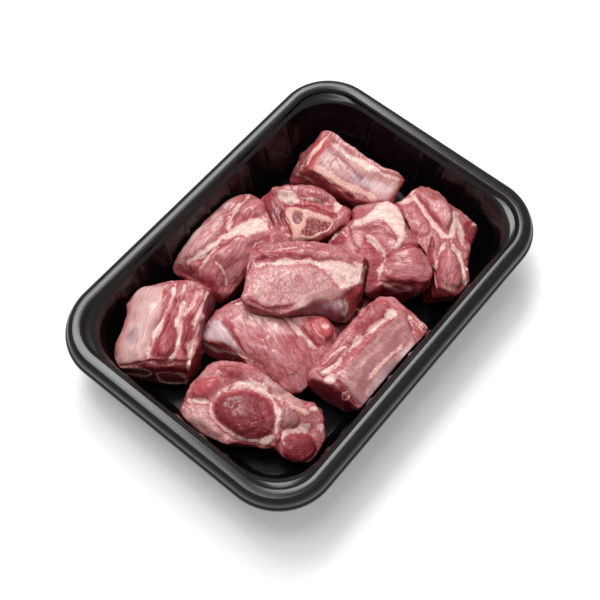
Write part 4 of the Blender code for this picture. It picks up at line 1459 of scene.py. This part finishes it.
def put_out(tree, results):
    """Lead the results of a group to its outputs."""
    end = tree.nodes.new("NodeGroupOutput")
    for title, socket in results.items():
        tree.links.new(socket, end.inputs[title])


def attribute(tree, name, output="Fac"):
    """One stored number, or one vector, of the mesh."""
    node = tree.nodes.new("ShaderNodeAttribute")
    node.attribute_name = name
    return node.outputs[output]


def object_place(tree):
    """The place of a point in its piece, in metres."""
    return tree.nodes.new("ShaderNodeTexCoord").outputs["Object"]


def vector_node(tree, operation, first, second):
    """A sum or a product of two vectors, where the second may be plain numbers."""
    node = tree.nodes.new("ShaderNodeVectorMath")
    node.operation = operation
    tree.links.new(first, node.inputs[0])
    if hasattr(second, "links"):
        tree.links.new(second, node.inputs[1])
    else:
        node.inputs[1].default_value = second
    return node.outputs[0]


def noise(tree, vector, scale, detail=3.0, roughness=0.55):
    """A noise texture's value."""
    node = tree.nodes.new("ShaderNodeTexNoise")
    tree.links.new(vector, node.inputs["Vector"])
    for name, value in (("Scale", scale), ("Detail", detail), ("Roughness", roughness)):
        node.inputs[name].default_value = value
    return node.outputs["Fac"]


def swing(tree, value, amount, middle):
    """Turn a noise from 0 to 1 into a swing of some amount about a middle value."""
    return math_node(tree, "MULTIPLY_ADD", math_node(tree, "SUBTRACT", value, 0.5), amount,
                     middle)


def blend(tree, share, first, second):
    """A mix of two colours."""
    node = tree.nodes.new("ShaderNodeMix")
    node.data_type = "RGBA"
    tree.links.new(share, node.inputs["Factor"])
    for socket, colour in ((node.inputs[6], first), (node.inputs[7], second)):
        if hasattr(colour, "links"):
            tree.links.new(colour, socket)
        else:
            socket.default_value = (*colour, 1.0)
    return node.outputs[2]


print("helpers are ready for", bpy.app.version_string)

# %% [markdown]
# Fresh mutton runs from nearly black red in the folds to a milky pink where light skims the
# fibres. A ramp of four colours holds that range. Streaks along the fibres, soft mottling
# and the stored tone with its painted shade choose a place on the ramp, and thin lines
# between the bundles are darkened as painted shade in the fine wrinkles.

# %% The colour of muscle
MUSCLE_STEPS = ((0.05, (0.20, 0.013, 0.021)), (0.3, (0.42, 0.068, 0.080)),
                (0.55, (0.59, 0.228, 0.230)), (0.95, (0.81, 0.49, 0.47)))
MUSCLE_SHADE = MUSCLE_STEPS[1][1]
MUSCLE_LIGHTNESS = 0.51
FIBRE_SWING = 0.6
MOTTLE_SWING = 0.48
TONE_REACH = 0.42
SWIRL_SCALE = 0.35
SWIRL_REACH = (3.0, 3.0, 1.0)
BUNDLE_SCALE = 0.45
BUNDLE_LINE = 0.09
BUNDLE_SHADE = 0.46


def bundle_lines(tree, grain):
    """1 on the thin lines between bundles of fibres, and 0 away from them."""
    swirl = tree.nodes.new("ShaderNodeTexNoise")
    swirl.inputs["Scale"].default_value = SWIRL_SCALE
    tree.links.new(grain, swirl.inputs["Vector"])
    drift = vector_node(tree, "MULTIPLY", swirl.outputs["Color"], SWIRL_REACH)
    cells = tree.nodes.new("ShaderNodeTexVoronoi")
    cells.feature = "DISTANCE_TO_EDGE"
    cells.inputs["Scale"].default_value = BUNDLE_SCALE
    tree.links.new(vector_node(tree, "ADD", grain, drift), cells.inputs["Vector"])
    return ramp_node(tree, cells.outputs["Distance"], 0.0, BUNDLE_LINE, 1.0, 0.0)


def muscle_colour(tree, lightness, fibre, mottle, tone_and_shade, lines):
    """The colour of bare muscle, with painted shade in its folds and between its bundles."""
    light = swing(tree, fibre, FIBRE_SWING, lightness)
    light = swing(tree, mottle, MOTTLE_SWING, light)
    light = math_node(tree, "MULTIPLY_ADD", tone_and_shade, TONE_REACH, light)
    ramp = tree.nodes.new("ShaderNodeValToRGB")
    steps = ramp.color_ramp.elements
    steps.remove(steps[1])
    steps[0].position = MUSCLE_STEPS[0][0]
    steps[0].color = (*MUSCLE_STEPS[0][1], 1.0)
    for position, colour in MUSCLE_STEPS[1:]:
        steps.new(position).color = (*colour, 1.0)
    tree.links.new(light, ramp.inputs["Fac"])
    # Painted shade: the lines between bundles are darkened, as fine wrinkles would be.
    share = math_node(tree, "MULTIPLY", lines, BUNDLE_SHADE)
    return blend(tree, share, ramp.outputs["Color"], MUSCLE_SHADE)


print("colours along the muscle ramp:", len(MUSCLE_STEPS))

# %% [markdown]
# Over the muscle lie the other tissues, from raw cut flesh and a nearly black red, partly
# blood and partly painted shade on undersides and in gaps, up to fat, bone and marrow. A
# tissue's mask rises from 0 to 1 over the depths given here, and a fine noise frays its
# edge. Thin seams let muscle shine through, and marrow is full of dark pits.

# %% The colours of the other tissues
FAT = (0.94, 0.66, 0.585)
# Silver is silverskin, and on the right rib's bone also a painted glint.
FILM = ((0.40, 0.150, 0.150), (0.74, 0.45, 0.415))
SILVERSKIN_AND_GLINT = ((0.22, 0.070, 0.100), (0.78, 0.55, 0.58))
BONE = (0.80, 0.44, 0.37)
MARROW = ((0.20, 0.010, 0.016), (0.52, 0.17, 0.16))
RAW = (0.56, 0.085, 0.095)
# The nearly black red below is partly blood and partly painted shade on undersides and in gaps.
BLOOD_AND_SHADE = (0.15, 0.006, 0.013)
MASK_RISE = {"fat": (-1.3, 0.9), "film": (-1.6, 1.6), "silver": (-2.5, 2.5),
             "deep": (-2.0, 2.0), "raw": (-2.5, 2.5), "bone": (-0.9, 0.9),
             "marrow": (-0.9, 0.9)}
COVER = {"raw": 0.95, "deep": 0.85, "film": 0.85, "silver": 0.8, "bone": 0.95,
         "marrow": 0.95}
FRAYING = 5.0
SKIN_SWING = 1.3
SKIN_TONE = 0.5
SEAM_SHADE_DEPTHS = (-4.0, -1.0)
SEAM_SHADE_DARKENING = 0.5
SEAM_DEPTHS = (0.4, 2.8)
SEAM_SHARE = 0.82
THIN_SCALE = 330.0
THIN_SPAN = (0.42, 0.62)
THIN_SHARE = 0.7
PIT_SCALE = 800.0
PIT_SPAN = (0.47, 0.66)
SOLID_MARROW_TONE = -0.6


def tissue_masks(tree, fray):
    """How much of each tissue covers a point, from 0 to 1."""
    masks = {}
    for tissue in TISSUES:
        depth = swing(tree, fray, FRAYING, attribute(tree, tissue))
        masks[tissue] = ramp_node(tree, depth, *MASK_RISE[tissue])
    return masks


def tissue_colours(tree, place, mottle, tone_and_shade):
    """The colour of each tissue, in the order in which they lie on the muscle."""
    skin = swing(tree, mottle, SKIN_SWING,
                 math_node(tree, "MULTIPLY_ADD", tone_and_shade, SKIN_TONE, SKIN_TONE))
    skin = ramp_node(tree, skin, 0.0, 1.0)
    pits = ramp_node(tree, noise(tree, place, PIT_SCALE, 2.0, 0.5), *PIT_SPAN)
    pits = math_node(tree, "MULTIPLY", pits, ramp_node(tree, tone_and_shade, SOLID_MARROW_TONE, 0.0))
    return {"raw": RAW, "deep": BLOOD_AND_SHADE, "film": blend(tree, skin, *FILM),
            "silver": blend(tree, skin, *SILVERSKIN_AND_GLINT), "fat": FAT, "bone": BONE,
            "marrow": blend(tree, pits, *MARROW)}


def fat_cover(tree, place):
    """How well fat hides the muscle under it: thin seams hide it less."""
    thin = ramp_node(tree, noise(tree, place, THIN_SCALE, 4.0, 0.6), *THIN_SPAN, 1.0,
                     THIN_SHARE)
    seam = ramp_node(tree, attribute(tree, "fat"), *SEAM_DEPTHS, SEAM_SHARE, 1.0)
    return math_node(tree, "MULTIPLY", thin, seam)


print("widest mask is", max(end - start for start, end in MASK_RISE.values()), "px")

# %% [markdown]
# The group puts the layers together. It also gives a wet film that is thick in some spots
# and thin in others, as juice is on real meat, a roughness, and the height of the fibres.

# %% The meat group
FIBRE_STRETCH = (1.0, 1.0, 0.13)
FIBRE_SCALE = 1.3
MOTTLE_SCALE = 110.0
FRAY_SCALE = 700.0
WET_SCALE = 75.0
WET_SPAN = (0.42, 0.62)
DRIEST = 0.12
WETTEST = 0.6
WET_TONE = 0.12
FLESH_ROUGHNESS = 0.36
SKIN_ROUGHNESS = 0.1
ROUGHNESS_SWING = 0.4
FIBRE_HEIGHT = 0.22
FRAY_HEIGHT = 0.10
BUNDLE_HEIGHT = -0.2


def meat_group():
    """Colour, roughness, wetness and fine height of raw meat."""
    tree = new_group("raw_meat", (("Lightness", "Float"),),
                     (("Colour", "Color"), ("Roughness", "Float"), ("Wet", "Float"),
                      ("Height", "Float")))
    lightness = tree.nodes.new("NodeGroupInput").outputs["Lightness"]
    place = object_place(tree)
    grain = vector_node(tree, "MULTIPLY", attribute(tree, "grain", "Vector"), FIBRE_STRETCH)
    lines = bundle_lines(tree, grain)
    fibre = noise(tree, grain, FIBRE_SCALE, 4.0, 0.6)
    mottle = noise(tree, place, MOTTLE_SCALE, 3.0, 0.5)
    fray = noise(tree, place, FRAY_SCALE, 3.0, 0.6)
    tone_and_shade = attribute(tree, "tone_and_shade")
    colour = muscle_colour(tree, lightness, fibre, mottle, tone_and_shade, lines)
    # Painted shade: the muscle just outside each seam of fat is darkened, in the valley beside
    # it.
    seam_shade = math_node(tree, "MULTIPLY", ramp_node(tree, attribute(tree, "fat"), *SEAM_SHADE_DEPTHS),
                    SEAM_SHADE_DARKENING)
    colour = blend(tree, seam_shade, colour, MUSCLE_SHADE)
    masks = tissue_masks(tree, fray)
    for tissue, tint in tissue_colours(tree, place, mottle, tone_and_shade).items():
        cover = fat_cover(tree, place) if tissue == "fat" else COVER[tissue]
        colour = blend(tree, math_node(tree, "MULTIPLY", masks[tissue], cover), colour, tint)
    skin = math_node(tree, "MAXIMUM", masks["fat"], masks["film"])
    rough = math_node(tree, "MULTIPLY_ADD", skin, SKIN_ROUGHNESS, FLESH_ROUGHNESS)
    wet = ramp_node(tree, noise(tree, place, WET_SCALE), *WET_SPAN, DRIEST, WETTEST)
    wet = math_node(tree, "MULTIPLY_ADD", tone_and_shade, WET_TONE, wet)
    height = math_node(tree, "MULTIPLY", fray, FRAY_HEIGHT)
    height = math_node(tree, "MULTIPLY_ADD", fibre, FIBRE_HEIGHT, height)
    height = math_node(tree, "MULTIPLY_ADD", lines, BUNDLE_HEIGHT, height)
    put_out(tree, {"Colour": colour, "Roughness": swing(tree, mottle, ROUGHNESS_SWING, rough),
                   "Wet": math_node(tree, "MAXIMUM", wet, 0.0), "Height": height})
    return tree


raw_meat = meat_group()
print("the wet film covers from", DRIEST, "to", WETTEST)

# %% [markdown]
# Raw meat lets some light in and has a thin wet film, which the shader's coat stands for.
# A group's outputs go to the shader, and values that are the same all over a piece are set
# on the shader itself. The bump's distance is one millimetre, as the heights are too.

# %% Finish of the meat
MEAT_BUMP = 0.8
MEAT_SHADER = {"Subsurface Weight": 0.18, "Subsurface Radius": (1.0, 0.32, 0.22),
               "Subsurface Scale": 2.2 * MM, "Specular IOR Level": 0.35,
               "Coat Roughness": 0.13}
LEADS = {"Colour": "Base Color", "Roughness": "Roughness", "Wet": "Coat Weight"}


def fill_finish(finish, group, group_values, bump_strength, shader_values):
    """Lead a group's outputs to a material's shader, and set the shader's plain values."""
    finish.use_nodes = True
    tree = finish.node_tree
    shader = tree.nodes["Principled BSDF"]
    look = tree.nodes.new("ShaderNodeGroup")
    look.node_tree = group
    for title, value in group_values.items():
        look.inputs[title].default_value = value
    for output in look.outputs:
        if output.name in LEADS:
            tree.links.new(output, shader.inputs[LEADS[output.name]])
    bump = tree.nodes.new("ShaderNodeBump")
    bump.inputs["Distance"].default_value = MM
    bump.inputs["Strength"].default_value = bump_strength
    tree.links.new(look.outputs["Height"], bump.inputs["Height"])
    tree.links.new(bump.outputs["Normal"], shader.inputs["Normal"])
    for title, value in shader_values.items():
        shader.inputs[title].default_value = value


raw_mutton = bpy.data.materials.new("raw_mutton")
fill_finish(raw_mutton, raw_meat, {"Lightness": MUSCLE_LIGHTNESS}, MEAT_BUMP, MEAT_SHADER)
for item in meat.values():
    item.data.materials.append(raw_mutton)
print("material:", raw_mutton.name)

# %% [markdown]
# The tray is black plastic, glossy but a little uneven, as pressed sheet is. Its floor is
# duller than its walls and flange, where the mould doesn't polish it, so one group serves
# two materials that differ in how much light they mirror.

# %% Finish of the tray
TRAY_BLACK = (0.0042, 0.0040, 0.0047)
TRAY_DARK = (0.0030, 0.0029, 0.0033)
CLOUD_SCALE = 35.0
FINE_SCALE = 900.0
FINE_HEIGHT = 0.02
CLOUD_SWING = 0.1
SHEET_ROUGHNESS = 0.2
SHEET_BUMP = 0.5
WALL_SPECULAR = 0.42
FLOOR_SPECULAR = 0.1
MATT_BELOW = 2.6
FACING_UP = 0.5


def tray_group():
    """Colour, roughness and height of pressed black sheet."""
    tree = new_group("pressed_sheet", (("Evenness", "Float"),),
                     (("Colour", "Color"), ("Roughness", "Float"), ("Height", "Float")))
    evenness = tree.nodes.new("NodeGroupInput").outputs["Evenness"]
    place = object_place(tree)
    cloud = noise(tree, place, CLOUD_SCALE)
    fine = noise(tree, place, FINE_SCALE, 2.0)
    put_out(tree, {"Colour": blend(tree, cloud, TRAY_DARK, TRAY_BLACK),
                   "Roughness": swing(tree, cloud, CLOUD_SWING, evenness),
                   "Height": math_node(tree, "MULTIPLY", fine, FINE_HEIGHT)})
    return tree


pressed_sheet = tray_group()
matt_floor = bpy.data.materials.new("matt_tray_floor")
for finish, specular in ((black_plastic, WALL_SPECULAR), (matt_floor, FLOOR_SPECULAR)):
    fill_finish(finish, pressed_sheet, {"Evenness": SHEET_ROUGHNESS}, SHEET_BUMP,
                {"Specular IOR Level": specular})
tray.data.materials.append(matt_floor)
for face in tray.data.polygons:
    if face.center.z < MATT_BELOW * MM and face.normal.z > FACING_UP:
        face.material_index = 1
print("materials:", black_plastic.name, "and", matt_floor.name)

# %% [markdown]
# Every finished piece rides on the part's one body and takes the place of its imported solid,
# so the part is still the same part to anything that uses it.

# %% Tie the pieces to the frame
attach(tray, "root")
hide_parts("tray")
for name, item in meat.items():
    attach(item, "root")
    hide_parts(name)
print("pieces tied to the frame:", len(meat) + 1)

# %% [markdown]
# A product photo of this kind is lit by large soft boxes over a pale table. A floor that
# glows a little burns out to white, as the photo's does, and still takes a shadow.

# %% Floor and sky
FLOOR_HALF = 3000.0
FLOOR_CORNERS = ((-1, -1, 0), (1, -1, 0), (1, 1, 0), (-1, 1, 0))
WHITE = (1.0, 1.0, 1.0, 1.0)
FLOOR_SHADER = {"Base Color": (0.93, 0.93, 0.93, 1.0), "Emission Color": WHITE,
                "Emission Strength": 0.12, "Roughness": 0.9, "Specular IOR Level": 0.0}
SKY_STRENGTH = 0.5

floor = make_mesh("floor", np.array(FLOOR_CORNERS) * FLOOR_HALF, [(0, 1, 2, 3)])
floor_paint = bpy.data.materials.new("floor_paint")
floor_paint.use_nodes = True
for title, value in FLOOR_SHADER.items():
    floor_paint.node_tree.nodes["Principled BSDF"].inputs[title].default_value = value
floor.data.materials.append(floor_paint)

world = bpy.data.worlds.new("studio")
world.use_nodes = True
sky = world.node_tree.nodes["Background"].inputs
sky["Color"].default_value = WHITE
sky["Strength"].default_value = SKY_STRENGTH
bpy.context.scene.world = world
print("the floor is", 2 * FLOOR_HALF * MM, "m wide")

# %% [markdown]
# One soft panel hangs overhead. A brighter one past the far left corner is what the black
# flange mirrors, and without it the tray would be a dark hole with no edges.
# A panel's place is a slope: how far sideways it hangs for each step up.

# %% Lights
LIGHT_HEIGHT = 2500.0
LIGHTS = {
    "overhead": dict(slope=(-0.08, 0.2), spread=(0.34, 0.5), glow=5.0, turn=0.0),
    "far_strip": dict(slope=(0.42, 0.52), spread=(0.8, 0.35), glow=11.0, turn=10.0),
}


def add_light(name, slope, spread, glow, turn):
    """A soft panel overhead, placed and sized by the slopes under which it is seen."""
    light = bpy.data.lights.new(name, "AREA")
    light.shape = "RECTANGLE"
    light.size = spread[0] * LIGHT_HEIGHT * MM
    light.size_y = spread[1] * LIGHT_HEIGHT * MM
    light.energy = glow * np.pi * light.size * light.size_y
    item = bpy.data.objects.new(name, light)
    item.location = Vector((slope[0], slope[1], 1.0)) * LIGHT_HEIGHT * MM
    item.rotation_euler.z = np.radians(turn)
    bpy.context.scene.collection.objects.link(item)


for name, numbers in LIGHTS.items():
    add_light(name, **numbers)
print("lights:", list(LIGHTS))

# %% [markdown]
# The camera stands where the marks were drawn from, so each seam is seen where it belongs.
# The plain view transform keeps the whites white, as in a product photo.

# %% Camera
camera_data = bpy.data.cameras.new("photo_camera")
camera_data.lens = FOCAL_LENGTH
camera_data.sensor_width = SENSOR_WIDTH
camera = bpy.data.objects.new("photo_camera", camera_data)
camera.matrix_world = Matrix.LocRotScale(
    Vector(CAMERA_PLACE) * MM,
    Matrix(np.stack([camera_right, camera_up, camera_back], axis=1).tolist()).to_quaternion(),
    None)
bpy.context.scene.collection.objects.link(camera)
bpy.context.scene.camera = camera
bpy.context.scene.view_settings.view_transform = "Standard"
print("camera at", [round(v, 3) for v in camera.location])
